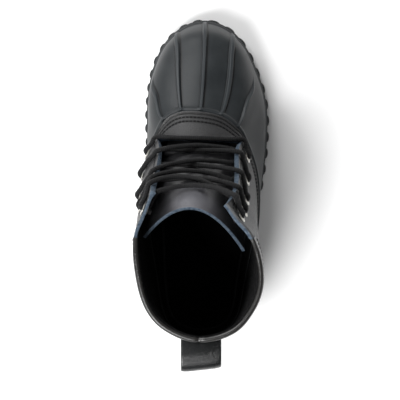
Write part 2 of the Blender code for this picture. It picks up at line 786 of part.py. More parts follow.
def leg_frame(around, length):
    """One point of the leg's outer face, with the directions out of it, along it and up it."""
    control = leg_wall(np.array([around - FRAME_STEP, around, around + FRAME_STEP]))
    points = walk(control, np.array([[length - 1.0] * 3, [length] * 3, [length + 1.0] * 3]))
    along = unit(points[1, 2] - points[1, 0])
    up = unit(points[2, 1] - points[0, 1])
    return points[1, 1], unit(np.cross(along, up)), along, up


def inset_from_edge(side, length, inset):
    """The place round the boot that lies an inset behind a front edge of the shaft."""
    way = -1 if side == "lateral" else 1
    around = KEY["edge_" + side] + way * np.linspace(0, INSET_REACH, FINE_STEPS)
    points = walk(leg_wall(around), np.full((1, FINE_STEPS), length))[0]
    steps = np.linalg.norm(np.diff(points, axis=0), axis=1)
    return np.interp(inset, np.concatenate([[0.0], np.cumsum(steps)]), around)


def eyelet_places(side):
    eyelets = table(EYELET_COLUMNS, EYELET_ROWS)
    places = []
    for length, inset in zip(eyelets["up"], eyelets["inset"]):
        point, normal, along, _ = leg_frame(inset_from_edge(side, length, inset), length)
        places.append((point, normal, along))
    return places


def make_eyelets(finish, parent):
    angles = np.arange(EYELET_SIDES) * 2 * math.pi / EYELET_SIDES
    for side in ("lateral", "medial"):
        for number, (point, normal, along) in enumerate(eyelet_places(side), 1):
            up = np.cross(normal, along)
            spokes = np.outer(np.cos(angles), along) + np.outer(np.sin(angles), up)
            rings = np.stack([point + radius * spokes + height * normal for radius, height in EYELET_SECTION])
            faces = []
            for row in range(len(rings)):
                low, high = row * EYELET_SIDES, (row + 1) % len(rings) * EYELET_SIDES
                for column in range(EYELET_SIDES):
                    after = (column + 1) % EYELET_SIDES
                    faces.append([low + column, low + after, high + after, high + column])
            make_object(f"eyelet_{side}_{number}", (rings.reshape(-1, 3), faces), finish, parent)


def lace_end(side, level):
    """Points of a lace from just inside a front edge, over it, to the outside of an eyelet."""
    eyelet = dict(zip(EYELET_COLUMNS, EYELET_ROWS[level]))
    length, eyelet_length, eyelet_inset = eyelet["over"], eyelet["up"], eyelet["inset"]
    clear = LACE_RADIUS + LACE_CLEAR
    edge, normal, along, _ = leg_frame(KEY["edge_" + side], length)
    ahead = along if side == "lateral" else -along
    points = [edge + ahead * clear - normal * LEATHER / 2, edge + (ahead + normal) * clear * LACE_EDGE_ROUND]
    for share in LACE_OUTSIDE_SHARES:
        inset = share * (eyelet_inset - LACE_EYELET_CLEAR)
        up = length + inset / eyelet_inset * (eyelet_length - length)
        point, out, _, _ = leg_frame(inset_from_edge(side, up, inset), up)
        points.append(point + out * clear)
    return points


def lace_start(side, length):
    """Points of a lace from under a flap to just inside its front edge."""
    below = LEATHER + LACE_RADIUS + LACE_CLEAR
    points = []
    for inset, rise in ((LACE_START_INSET, 0.0), (0.0, LACE_START_RISE)):
        point, normal, _, _ = leg_frame(inset_from_edge(side, length + rise, inset), length + rise)
        points.append(point - below * normal)
    return points


def curve_through(points, count):
    """Points evenly spaced along a smooth curve through the given ones."""
    points = np.array(points)
    steps = np.linalg.norm(np.diff(points, axis=0), axis=1) ** 0.5
    places = np.concatenate([[0.0], np.cumsum(steps)])
    slopes = np.gradient(points, places, axis=0)
    fine = np.linspace(0, places[-1], CURVE_STEPS)
    row = np.clip(np.searchsorted(places, fine, side="right") - 1, 0, len(places) - 2)
    width = (places[row + 1] - places[row])[:, None]
    t = (fine - places[row])[:, None] / width
    rise = points[row + 1] - points[row]
    start, end = slopes[row] * width, slopes[row + 1] * width
    line = points[row] + t * (start + t * (3 * rise - 2 * start - end + t * (start + end - 2 * rise)))
    run = np.concatenate([[0.0], np.cumsum(np.linalg.norm(np.diff(line, axis=0), axis=1))])
    even = np.linspace(0, run[-1], count)
    return np.column_stack([np.interp(even, run, line[:, axis]) for axis in range(3)])


def over_tongue(start, end, lift, dip):
    """Points of a lace where it lies over the tongue between two points and dips in the middle."""
    points = []
    ups = np.linspace(0, 1, TONGUE_LEVELS)
    for share in LACE_INSIDE_SHARES:
        way = start + share * (end - start) - (0.0, 0.0, 4 * share * (1 - share) * dip)
        crest, out = tongue_point(0.0, ups)
        up = np.interp(way[2], crest[:, 2], ups)
        row = tongue_row(up)
        face, out = tongue_point((way[0] - row["middle_x"]) / row["half_width"], up)
        needed = lift + LACE_RADIUS + LACE_CLEAR
        height = max(np.dot(way - face, out), needed)
        points.append(face + height * out)
    return points


def over_vamp():
    """Points of a lace that lies along the lower end of the throat, on the vamp strip."""
    edges = KEY["edge_lateral"], KEY["edge_medial"]
    around = edges[0] + np.array(LACE_VAMP_SHARES) * (edges[1] - edges[0])
    clear = LACE_RADIUS + LACE_VAMP_CLEAR
    return list(vamp_wall(around)[3] + (0.0, clear * LACE_VAMP_AHEAD, clear))


def make_lace(finish, parent):
    ends = {side: lace_end(side, 0)[1:] for side in ("lateral", "medial")}
    path = curve_through(ends["medial"][::-1] + over_vamp() + ends["lateral"], LACE_POINTS)
    make_object("lace_bar", tube(path, LACE_RADIUS, LACE_SIDES), finish, parent)
    for level in range(1, len(EYELET_ROWS)):
        below = dict(zip(EYELET_COLUMNS, EYELET_ROWS[level - 1]))
        cords = []
        for lift, start_side, end_side in ((0.0, "medial", "lateral"), (LACE_RADIUS, "lateral", "medial")):
            start = lace_start(start_side, below["up"])
            end = lace_end(end_side, level)
            middle = over_tongue(start[-1], end[0], lift, LACE_DIPS[level - 1])
            path = curve_through(start + middle + end, LACE_POINTS)
            cords.append(tube(path, LACE_RADIUS, LACE_SIDES))
        name = f"lace_cross_{level + 1}"
        lace = make_object(name, cords[0], finish, parent)
        combine(lace, make_object(f"{name}_over", cords[1], finish, parent), "UNION")


def centre(parent):
    """Moves the boot so that the middle of its floor box is at the world's origin."""
    bpy.context.view_layer.update()
    graph = bpy.context.evaluated_depsgraph_get()
    corners = []
    for made in parent.children:
        if not made.hide_render:
            shape = made.evaluated_get(graph)
            corners += [shape.matrix_world @ vertex.co for vertex in shape.data.vertices]
    corners = np.array(corners)
    low, high = corners.min(axis=0), corners.max(axis=0)
    parent.location = (-(low[0] + high[0]) / 2, -(low[1] + high[1]) / 2, -low[2])


def main():
    for old in list(bpy.data.objects):
        bpy.data.objects.remove(old)
    boot = bpy.data.objects.new("boot", None)
    bpy.context.scene.collection.objects.link(boot)
    leather = material("black_leather", (0.045, 0.046, 0.048), 0.5)
    make_outsole(material("outsole_rubber", (0.022, 0.023, 0.024), 0.65), boot)
    make_insole(material("insole_fabric", (0.012, 0.012, 0.013), 0.95), boot)
    make_shell(material("shell_rubber", (0.05, 0.054, 0.057), 0.55), boot)
    make_shaft(leather, boot)
    make_binding(material("binding_leather", (0.02, 0.02, 0.02), 0.45), boot)
    make_tongue(material("tongue_leather", (0.07, 0.07, 0.074), 0.5), boot)
    make_loop(material("loop_leather", (0.03, 0.031, 0.033), 0.5), boot)
    make_eyelets(material("eyelet_steel", (0.55, 0.55, 0.53), 0.3, 1.0), boot)
    make_lace(material("lace_cord", (0.012, 0.012, 0.013), 0.85), boot)
    centre(boot)


main()
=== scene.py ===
"""Looks of the right-foot lace-up boot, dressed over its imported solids.

Sizes are millimetres in the last's own frame until a mesh is made: its origin is on the floor
under the back of the heel, +X is the outer side of the foot, +Y the toe and +Z up.
"""

import math

import bmesh
import bpy
import numpy as np
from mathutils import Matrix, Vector


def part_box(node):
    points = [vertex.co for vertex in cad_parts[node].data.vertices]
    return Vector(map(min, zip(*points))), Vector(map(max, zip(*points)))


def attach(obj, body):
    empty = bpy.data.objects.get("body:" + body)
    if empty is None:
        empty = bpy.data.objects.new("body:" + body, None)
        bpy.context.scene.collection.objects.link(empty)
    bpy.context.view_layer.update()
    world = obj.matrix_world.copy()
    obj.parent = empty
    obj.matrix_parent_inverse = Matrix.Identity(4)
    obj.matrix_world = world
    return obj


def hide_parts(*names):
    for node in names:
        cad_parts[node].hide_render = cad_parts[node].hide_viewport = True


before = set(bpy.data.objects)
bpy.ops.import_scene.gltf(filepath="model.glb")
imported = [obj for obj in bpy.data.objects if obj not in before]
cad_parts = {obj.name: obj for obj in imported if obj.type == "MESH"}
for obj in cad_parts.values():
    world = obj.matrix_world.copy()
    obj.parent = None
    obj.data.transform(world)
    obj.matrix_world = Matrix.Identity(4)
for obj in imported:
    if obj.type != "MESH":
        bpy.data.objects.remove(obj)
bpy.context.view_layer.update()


# Outsole: one moulding of black rubber with a low heel, a shallow arch and toe spring. Lugs wrap
# round its edge, square cleats stand under it, and it is bonded to the foot of the rubber shell.
# Its outline is the foot line of the last, the form that the whole boot is made on.
MM = 0.001
GAP = 0.3
LENGTH = 300.0
BALL_WIDTH = 116.0
BOOT_HEIGHT = 200.0

# One row for each key column round the last, from the back of the heel along the outer side to
# the toe and back along the inner side. x is a percentage of BALL_WIDTH, y of LENGTH and z of
# BOOT_HEIGHT. A rise is the wall's angle from the floor, leaning inwards below 90.
LAST_COLUMNS = (
    "foot_x", "foot_y", "rim_x", "rim_y", "rim_z", "top_x", "top_y", "top_z",
    "foot_rise", "rim_rise", "top_rise",
)
LAST_ROWS = {
    "heel_back": (0.4, 1.3, 0.4, 0.7, 34.0, -0.9, 3.75, 99.0, 98, 88, 90),
    "heel_lateral": (23.3, 4.3, 25.9, 4.2, 32.0, 20.9, 5.6, 99.0, 98, 90, 91),
    "side_lateral": (32.3, 15.0, 37.0, 16.7, 29.0, 34.8, 10.3, 99.0, 102, 96, 92),
    "waist_lateral": (40.5, 33.3, 45.3, 33.3, 27.2, 45.0, 21.0, 99.0, 100, 88, 90),
    "instep_lateral": (49.1, 50.0, 46.6, 46.3, 27.8, 38.2, 32.7, 99.0, 96, 78, 83),
    "ball_lateral": (53.0, 65.3, 41.8, 56.0, 30.8, 26.7, 38.2, 98.7, 95, 72, 75),
    "edge_lateral": (51.3, 75.3, 34.5, 62.7, 34.8, 17.2, 42.8, 98.4, 94, 62, 52),
    "rib_outer_lateral": (44.0, 84.3, 29.3, 65.2, 36.8, 8.6, 44.7, 98.4, 90, 38, 70),
    "rib_inner_lateral": (26.7, 95.0, 16.4, 68.7, 39.8, -0.9, 46.2, 98.4, 80, 27, 75),
    "rib_toe": (4.1, 98.7, 0.4, 70.0, 41.2, -10.3, 47.0, 98.4, 76, 22, 78),
    "rib_inner_medial": (-19.0, 95.3, -14.7, 70.0, 40.2, -19.0, 47.3, 98.4, 80, 26, 78),
    "rib_outer_medial": (-36.2, 84.7, -28.4, 67.2, 37.0, -27.6, 47.2, 98.4, 90, 38, 80),
    "edge_medial": (-40.5, 76.0, -34.5, 63.3, 34.2, -33.2, 46.7, 98.4, 95, 64, 84),
    "ball_medial": (-41.4, 66.7, -40.5, 58.7, 31.8, -41.4, 39.3, 98.7, 97, 86, 86),
    "instep_medial": (-38.8, 51.7, -44.0, 48.7, 29.0, -47.6, 32.7, 99.0, 100, 91, 90),
    "waist_medial": (-33.6, 35.0, -42.7, 34.7, 27.5, -45.3, 21.4, 99.0, 102, 94, 91),
    "side_medial": (-31.0, 15.7, -35.3, 16.7, 29.0, -34.7, 10.5, 99.0, 102, 96, 92),
    "heel_medial": (-22.0, 4.5, -24.6, 4.2, 32.0, -20.5, 6.0, 99.0, 98, 90, 91),
}

# The flaps' front edges lie this share of the way round behind their key columns.
THROAT_SET_BACK = 0.0085

# Station as a percentage of LENGTH, underside and top above the floor.
SOLE_ROWS = (
    (-3.0, 0.0, 25.0), (25.0, 0.0, 24.0), (32.0, 4.0, 22.0), (40.0, 0.0, 19.5), (60.0, 0.0, 17.0),
    (76.0, 0.0, 17.0), (84.0, 1.5, 18.3), (92.0, 5.0, 21.3), (101.0, 10.0, 26.0),
)
TREAD_DEPTH = 4.0
SOLE_COLUMNS = 360
# The slab's side from the tread up: margin outside the foot line, height from the tread or the seat.
SLAB_SIDE = ((0.4, "tread", 0.0), (1.4, "tread", 0.8), (1.4, "seat", -6.9), (1.9, "seat", -6.5))
# The band above it: margin, height from the seat. The rows of its upper edge are painted pale, partly as
# rubbing and partly as a painted highlight where the edge catches the light.
BAND_SIDE = ((2.1, -6.3), (2.4, -5.8), (2.45, -3.2), (2.4, -0.9), (2.1, -0.35), (1.5, 0.0))
BAND_RUB_HIGHLIGHT = slice(-3, -1)
# Lugs along each side, the share of the pitch that one fills, its reach outside and inside the foot line,
# its top below the seat and its underside above the ground.
LUGS_LATERAL = 22
LUGS_MEDIAL = 26
LUG_SHARE = 0.88
LUG_MARGIN = 4.4
LUG_REACH = 13.0
LUG_SHOULDER = 7.0
LUG_LIFT = 0.3
# The lug's outer face falls back towards its ends, and its edges are rounded over.
LUG_CROWN = 3.4
LUG_CROWN_POWER = 2.6
LUG_FACE_STEPS = 11
LUG_SECTION = ((0.9, -0.5), (0.25, -0.44), (0.0, -0.3), (0.0, 0.28), (0.3, 0.43), (1.1, 0.5))
LUG_END_ROUND = 0.04
CLEAT_ROUND = 0.08
CLEAT_PITCH = 19.0
CLEAT_SIZE = 11.0
CLEAT_MARGIN = 25.0
CLEAT_ROOT = 2.0
CLEAT_STATIONS = ((20.0, 66.0), (128.0, 270.0))
SLOPE_STEP = 0.0005
# How far moulded rubber goes towards its pale tone where it is rubbed and a highlight is painted on it, and
# where it is scuffed, how much paler that tone is, and how far it goes towards black in a crease as painted
# shade.
RUBBER_RUB_HIGHLIGHT = 0.55
RUBBER_SCUFF = 0.3
RUBBER_PALER = 1.7
RUBBER_CREASE_SHADE = 0.9


def smooth_step(value, rise, start, end, share):
    """A step from a value by a rise, with the given slopes at its start and its end."""
    bend = 3 * rise - 2 * start - end + share * (start + end - 2 * rise)
    return value + share * (start + share * bend)


def smooth_table(places, values):
    """A curve through the rows of a table that never overshoots them."""
    places = np.asarray(places, float)
    values = np.asarray(values, float)
    widths = np.diff(places)[:, None]
    rates = np.diff(values, axis=0) / widths
    slopes = np.zeros_like(values)
    before, after = rates[:-1], rates[1:]
    same_way = before * after > 0
    total = np.where(same_way, before + after, 1.0)
    slopes[1:-1] = np.where(same_way, 2 * before * after / total, 0.0)
    slopes[0] = rates[0]
    slopes[-1] = rates[-1]

    def at(place):
        place = np.clip(np.asarray(place, float), places[0], places[-1])
        row = np.clip(np.searchsorted(places, place, side="right") - 1, 0, len(places) - 2)
        width = widths[row]
        share = (place - places[row])[..., None] / width
        rise = values[row + 1] - values[row]
        return smooth_step(values[row], rise, slopes[row] * width, slopes[row + 1] * width, share)

    return at


class ClosedSpline:
    """A smooth closed curve through the rows of a table, in a parameter that runs from 0 to 1."""

    def __init__(self, knots, values):
        count = len(knots)
        self.knots = np.asarray(knots, float)
        self.values = np.asarray(values, float)
        self.widths = np.diff(np.append(self.knots, 1.0))
        matrix = np.zeros((count, count))
        change = np.zeros_like(self.values)
        for row in range(count):
            before, after = (row - 1) % count, (row + 1) % count
            matrix[row, before] += self.widths[before]
            matrix[row, row] += 2 * (self.widths[before] + self.widths[row])
            matrix[row, after] += self.widths[row]
            forward = (self.values[after] - self.values[row]) / self.widths[row]
            backward = (self.values[row] - self.values[before]) / self.widths[before]
            change[row] = 6 * (forward - backward)
        self.bends = np.linalg.solve(matrix, change)

    def at(self, around):
        around = np.mod(np.asarray(around, float), 1.0)
        row = np.searchsorted(self.knots, around, side="right") - 1
        after = (row + 1) % len(self.knots)
        width = self.widths[row][:, None]
        right = (around - self.knots[row])[:, None] / width
        left = 1 - right
        bent = (left**3 - left) * self.bends[row] + (right**3 - right) * self.bends[after]
        return left * self.values[row] + right * self.values[after] + bent * width**2 / 6

    def slope(self, around):
        around = np.asarray(around, float)
        return (self.at(around + SLOPE_STEP) - self.at(around - SLOPE_STEP)) / (2 * SLOPE_STEP)


def last_spline():
    """The last's table in millimetres and degrees, with each key column's place round the boot."""
    whole = {"x": BALL_WIDTH, "y": LENGTH, "z": BOOT_HEIGHT}
    scale = [whole.get(name[-1], 100.0) / 100 for name in LAST_COLUMNS]
    rows = np.array(list(LAST_ROWS.values())) * scale
    steps = np.linalg.norm(np.roll(rows[:, :2], -1, axis=0) - rows[:, :2], axis=1)
    knots = np.concatenate([[0.0], np.cumsum(steps)[:-1]]) / steps.sum()
    return ClosedSpline(knots, rows), dict(zip(LAST_ROWS, knots))


LAST, KEY = last_spline()
KEY["edge_lateral"] -= THROAT_SET_BACK
KEY["edge_medial"] += THROAT_SET_BACK
SOLE = smooth_table([row[0] * LENGTH / 100 for row in SOLE_ROWS], [row[1:] for row in SOLE_ROWS])


def ground_height(y):
    """The height of the sole's underside."""
    return SOLE(y)[..., 0]


def seat_height(y):
    """The height of the sole's top, which the shell stands on."""
    return SOLE(y)[..., 1]


def unit(vectors):
    return vectors / np.linalg.norm(vectors, axis=-1, keepdims=True)


def outline(around, margin):
    """Plan points at a margin outside the foot line."""
    value = LAST.at(around)[:, 0:2]
    slope = LAST.slope(around)[:, 0:2]
    outward = unit(np.stack([slope[:, 1], -slope[:, 0]], axis=1))
    return value + margin * outward


# The last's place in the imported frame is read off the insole, whose plan follows the foot line.
INSOLE_INSET = 5.2
INSOLE_SOLID_COLUMNS = 60
insole_plan = outline(np.arange(INSOLE_SOLID_COLUMNS) / INSOLE_SOLID_COLUMNS, -INSOLE_INSET)
SHIFT = np.append(np.array(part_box("insole")[0][:2]) / MM - insole_plan.min(axis=0), 0.0)


def add_object(name, data):
    """A new object of the scene, at the origin."""
    made = bpy.data.objects.new(name, data)
    bpy.context.scene.collection.objects.link(made)
    return made


def make_piece(name, points, faces, *finishes):
    """A smooth mesh object at the origin, from points in the last's frame."""
    mesh = bpy.data.meshes.new(name)
    mesh.from_pydata(((points + SHIFT) * MM).tolist(), [], faces)
    for finish in finishes:
        mesh.materials.append(finish)
    mesh.shade_smooth()
    return add_object(name, mesh)


def add_mask(piece, name, values):
    """A value at each of a piece's points, for its material to read."""
    layer = piece.data.attributes.new(name, "FLOAT", "POINT")
    layer.data.foreach_set("value", np.asarray(values, float).ravel())


def ring_faces(rows, columns, close_bottom, close_top):
    """Faces of stacked closed rings, with their ends closed from side to side."""
    faces = []
    for row in range(rows - 1):
        low, high = row * columns, (row + 1) * columns
        for column in range(columns):
            after = (column + 1) % columns
            faces.append([low + column, low + after, high + after, high + column])
    for row, upwards, wanted in ((rows - 1, True, close_top), (0, False, close_bottom)):
        for column in range(columns // 2 if wanted else 0):
            strip = [column, column + 1, columns - column - 1, (columns - column) % columns]
            strip = [row * columns + number for number in dict.fromkeys(strip)]
            faces.append(strip if upwards else strip[::-1])
    return faces


def capped_rings(rows, columns):
    """Faces of stacked closed rings, with one face over each end."""
    top = (rows - 1) * columns
    caps = [list(range(columns))[::-1], list(range(top, top + columns))]
    return ring_faces(rows, columns, False, False) + caps


def add_node(tree, kind, inputs=(), **settings):
    """A new node with its settings made and its inputs set or linked."""
    made = tree.nodes.new(kind)
    for name, value in settings.items():
        setattr(made, name, value)
    for name, value in dict(inputs).items():
        if isinstance(value, bpy.types.NodeSocket):
            tree.links.new(value, made.inputs[name])
        else:
            made.inputs[name].default_value = value
    return made


def new_group(name, inputs, outputs):
    """An empty shader node group with named sockets, and its two end nodes."""
    group = bpy.data.node_groups.new(name, "ShaderNodeTree")
    for label, value in inputs.items():
        group.interface.new_socket(label, in_out="INPUT", socket_type="NodeSocketFloat").default_value = value
    for label in outputs:
        group.interface.new_socket(label, in_out="OUTPUT", socket_type="NodeSocketFloat")
    return group, group.nodes.new("NodeGroupInput"), group.nodes.new("NodeGroupOutput")


def moulded_rubber_group():
    """Fine pebble of a moulded skin, cloudy bloom on it, and thin scuffs."""
    group, entry, leave = new_group(
        "moulded_rubber", {"Pebble scale": 900.0, "Bloom scale": 28.0, "Scuff scale": 60.0},
        ("Height", "Bloom", "Scuff"),
    )
    where = add_node(group, "ShaderNodeTexCoord").outputs["Object"]
    pebble = add_node(group, "ShaderNodeTexNoise", {
        "Vector": where, "Scale": entry.outputs["Pebble scale"], "Detail": 3.0, "Roughness": 0.55,
    })
    bloom = add_node(group, "ShaderNodeTexNoise", {
        "Vector": where, "Scale": entry.outputs["Bloom scale"], "Detail": 5.0, "Roughness": 0.6,
    })
    stretched = add_node(group, "ShaderNodeMapping", {"Vector": where, "Scale": (1.0, 0.22, 0.5)})
    scratch = add_node(group, "ShaderNodeTexNoise", {
        "Vector": stretched.outputs["Vector"], "Scale": entry.outputs["Scuff scale"], "Detail": 6.0,
        "Roughness": 0.7, "Distortion": 0.6,
    })
    scuff = add_node(group, "ShaderNodeMapRange", {
        "Value": scratch.outputs["Fac"], "From Min": 0.56, "From Max": 0.74,
    }, interpolation_type="SMOOTHSTEP")
    group.links.new(pebble.outputs["Fac"], leave.inputs["Height"])
    group.links.new(bloom.outputs["Fac"], leave.inputs["Bloom"])
    group.links.new(scuff.outputs["Result"], leave.inputs["Scuff"])
    return group


MOULDED_RUBBER = moulded_rubber_group()


def new_material(name, **constants):
    """A material with its shader's constant sockets set, ready for its nodes."""
    made = bpy.data.materials.new(name)
    made.use_nodes = True
    shader = made.node_tree.nodes["Principled BSDF"]
    for label, value in constants.items():
        shader.inputs[label.replace("_", " ")].default_value = value
    return made, made.node_tree, shader


def link_shader(tree, shader, **sockets):
    """Links what changes over the surface to the sockets of a shader."""
    for label, value in sockets.items():
        tree.links.new(value, shader.inputs[label.replace("_", " ")])


def linear(red, green, blue):
    """A shader colour from one read off a screen, 0 to 255."""
    return tuple((value / 255) ** 2.2 for value in (red, green, blue)) + (1.0,)


def mix_colour(tree, share, first, second):
    """A share of the way from one colour to another."""
    mix = add_node(tree, "ShaderNodeMix", data_type="RGBA")
    for number, value in ((0, share), (6, first), (7, second)):
        if isinstance(value, bpy.types.NodeSocket):
            tree.links.new(value, mix.inputs[number])
        else:
            mix.inputs[number].default_value = value
    return mix.outputs[2]


def spread(tree, value, low, high, to_low, to_high):
    """A value carried from one range to another."""
    return add_node(tree, "ShaderNodeMapRange", {
        "Value": value, "From Min": low, "From Max": high, "To Min": to_low, "To Max": to_high,
    }).outputs["Result"]


def bump(tree, height, depth):
    """A height turned into fine relief of a depth in metres."""
    return add_node(tree, "ShaderNodeBump", {"Height": height, "Distance": depth}).outputs["Normal"]


def rubber_material(name, dark, light, rough_low, rough_high, pebble_depth):
    """Moulded rubber: cloudy bloom between two tones, with scuffs. Its points' proud value is above 0 where
    it is painted pale, partly as rubbing and partly as a painted highlight, and below 0 where a crease is
    darkened as painted shade."""
    made, tree, shader = new_material(name, Specular_IOR_Level=0.28)
    skin = add_node(tree, "ShaderNodeGroup", node_tree=MOULDED_RUBBER)
    pale = tuple(min(1.0, value * RUBBER_PALER) for value in light[:3]) + (1.0,)
    proud = add_node(tree, "ShaderNodeAttribute", attribute_name="proud").outputs["Fac"]
    colour = mix_colour(tree, spread(tree, skin.outputs["Bloom"], 0.35, 0.65, 0.0, 1.0), dark, light)
    # Above 0 the mask paints the rubber pale, partly rubbing and partly a painted highlight; below 0 it
    # darkens creases as painted shade.
    colour = mix_colour(tree, spread(tree, proud, 0.3, 1.0, 0.0, RUBBER_RUB_HIGHLIGHT), colour, pale)
    colour = mix_colour(tree, spread(tree, proud, -0.8, 0.0, RUBBER_CREASE_SHADE, 0.0), colour, linear(4, 4, 5))
    scuff = spread(tree, skin.outputs["Scuff"], 0.0, 1.0, 0.0, RUBBER_SCUFF)
    link_shader(
        tree, shader,
        Base_Color=mix_colour(tree, scuff, colour, pale),
        Roughness=spread(tree, skin.outputs["Bloom"], 0.3, 0.7, rough_low, rough_high),
        Normal=bump(tree, skin.outputs["Height"], pebble_depth),
    )
    return made


def set_on_places_tree():
    """A tree that sets a copy of a shape on each point, turned to the point's way and out."""
    tree = bpy.data.node_groups.new("set_on_places", "GeometryNodeTree")
    kinds = {"Geometry": "Geometry", "Shape": "Object", "Size": "Vector", "Finish": "Material"}
    for label, kind in kinds.items():
        tree.interface.new_socket(label, in_out="INPUT", socket_type=f"NodeSocket{kind}")
    tree.interface.new_socket("Geometry", in_out="OUTPUT", socket_type="NodeSocketGeometry")
    entry = tree.nodes.new("NodeGroupInput")
    kept = {}
    for label in ("way", "out", "size"):
        read = add_node(tree, "GeometryNodeInputNamedAttribute", {"Name": label}, data_type="FLOAT_VECTOR")
        kept[label] = read.outputs["Attribute"]
    along = add_node(tree, "FunctionNodeAlignRotationToVector", {"Vector": kept["way"]}, axis="X")
    turned = add_node(tree, "FunctionNodeAlignRotationToVector", {
        "Rotation": along.outputs["Rotation"], "Vector": kept["out"],
    }, axis="Z", pivot_axis="X")
    size = add_node(tree, "ShaderNodeVectorMath", {
        0: kept["size"], 1: entry.outputs["Size"],
    }, operation="MULTIPLY")
    shape = add_node(tree, "GeometryNodeObjectInfo", {"Object": entry.outputs["Shape"]})
    copies = add_node(tree, "GeometryNodeInstanceOnPoints", {
        "Points": entry.outputs["Geometry"], "Instance": shape.outputs["Geometry"],
        "Rotation": turned.outputs["Rotation"], "Scale": size.outputs["Vector"],
    })
    whole = add_node(tree, "GeometryNodeRealizeInstances", {"Geometry": copies.outputs["Instances"]})
    done = add_node(tree, "GeometryNodeSetMaterial", {
        "Geometry": whole.outputs["Geometry"], "Material": entry.outputs["Finish"],
    })
    add_node(tree, "NodeGroupOutput", {"Geometry": done.outputs["Geometry"]})
    return tree


SET_ON_PLACES = set_on_places_tree()


def set_on_places(name, shape, places, ways, outs, sizes, size, finish):
    """A piece made of copies of a shape, one on each place. The shape is used up."""
    holder = make_piece(name, np.asarray(places, float), [])
    for label, values in (("way", ways), ("out", outs), ("size", sizes)):
        layer = holder.data.attributes.new(label, "FLOAT_VECTOR", "POINT")
        layer.data.foreach_set("vector", np.asarray(values, float).ravel())
    setting = holder.modifiers.new("set_on_places", "NODES")
    setting.node_group = SET_ON_PLACES
    values = {"Shape": shape, "Size": [side * MM for side in size], "Finish": finish}
    for socket in SET_ON_PLACES.interface.items_tree:
        if socket.in_out == "INPUT" and socket.name in values:
            setting[socket.identifier] = values[socket.name]
    graph = bpy.context.evaluated_depsgraph_get()
    whole = bpy.data.meshes.new_from_object(holder.evaluated_get(graph))
    holder.modifiers.remove(setting)
    holder.data = whole
    whole.shade_smooth()
    bpy.data.objects.remove(shape)
    return holder


def shape_object(name, points, faces):
    """A shape to set copies of, in its own units."""
    mesh = bpy.data.meshes.new(name)
    mesh.from_pydata(points.tolist(), [], faces)
    return add_object(name, mesh)


def cleat_shape():
    """One cleat: a block one unit each way with its edges rounded over."""
    shape = bmesh.new()
    bmesh.ops.create_cube(shape, size=1.0)
    bmesh.ops.bevel(
        shape, geom=list(shape.edges), offset=CLEAT_ROUND, offset_type="OFFSET", segments=2, profile=0.5,
        affect="EDGES", clamp_overlap=True,
    )
    mesh = bpy.data.meshes.new("cleat_shape")
    shape.to_mesh(mesh)
    shape.free()
    return add_object("cleat_shape", mesh)


def lug_shape():
    """One lug, a unit long and high and in millimetres deep, its outer face crowned towards -Y."""
    share = np.linspace(-1, 1, LUG_FACE_STEPS)
    face = np.abs(share) ** LUG_CROWN_POWER * LUG_CROWN
    rings = []
    for inset, level in LUG_SECTION:
        along = share * (0.5 - inset * LUG_END_ROUND)
        outer = np.stack([along, -(LUG_MARGIN + LUG_REACH) / 2 + face + inset], axis=1)
        inner = np.stack([along[::-1], np.full(LUG_FACE_STEPS, (LUG_MARGIN + LUG_REACH) / 2)], axis=1)
        plan = np.concatenate([outer, inner])
        rings.append(np.column_stack([plan, np.full(len(plan), level)]))
    faces = capped_rings(len(rings), 2 * LUG_FACE_STEPS)
    return shape_object("lug_shape", np.concatenate(rings), faces)


def slab_rings(around):
    """The sole's side without its lugs, a ring for each level from the tread up."""
    rings = []
    for margin, base, height in SLAB_SIDE:
        plan = outline(around, margin)
        if base == "tread":
            level = ground_height(plan[:, 1]) + TREAD_DEPTH
        else:
            level = seat_height(plan[:, 1])
        rings.append(np.column_stack([plan, level + height]))
    for margin, height in BAND_SIDE:
        plan = outline(around, margin)
        rings.append(np.column_stack([plan, seat_height(plan[:, 1]) + height]))
    return np.stack(rings)


def lug_places():
    """Middle, way, up and size of each lug round the sole's edge."""
    toe = KEY["rib_toe"]
    middles, ways, ups, sizes = [], [], [], []
    for start, end, count in ((0.0, toe, LUGS_LATERAL), (toe, 1.0, LUGS_MEDIAL)):
        pitch = (end - start) / count
        for number in range(count):
            ends = start + pitch * (number + 0.5 + LUG_SHARE * np.array([-0.5, 0.0, 0.5]))
            outer = outline(ends, LUG_MARGIN)
            inner = outline(ends, -LUG_REACH)
            low = ground_height(outer[:, 1]) + LUG_LIFT
            high = seat_height(outer[1:2, 1])[0] - LUG_SHOULDER
            plan = (outer[1] + inner[1]) / 2
            middles.append((*plan, (low[1] + high) / 2))
            way = np.append(outer[2] - outer[0], low[2] - low[0])
            ways.append(unit(way))
            across = unit(np.append(outer[1] - inner[1], 0.0))
            ups.append(unit(np.cross(across, way)))
            sizes.append((np.linalg.norm(way), 1.0, high - low[1]))
    return middles, ways, ups, sizes


def cleat_places():
    """Middles of the cleats in rows across the heel and the forefoot, every other row set over."""
    plan = outline(np.arange(SOLE_COLUMNS) / SOLE_COLUMNS, 0.0)
    half = SOLE_COLUMNS // 2
    places = []
    for start, end in CLEAT_STATIONS:
        for number, y in enumerate(np.arange(start, end, CLEAT_PITCH)):
            right = np.interp(y, plan[:half, 1], plan[:half, 0]) - CLEAT_MARGIN
            left = np.interp(y, plan[:half:-1, 1], plan[:half:-1, 0]) + CLEAT_MARGIN
            count = max(1, int((right - left) // CLEAT_PITCH) + 1)
            shift = CLEAT_PITCH / 4 * (-1) ** number
            for place in range(count):
                x = (left + right) / 2 + (place - (count - 1) / 2) * CLEAT_PITCH + shift
                places.append((x, y, ground_height(np.array(y)) + (TREAD_DEPTH + CLEAT_ROOT) / 2))
    return np.array(places)


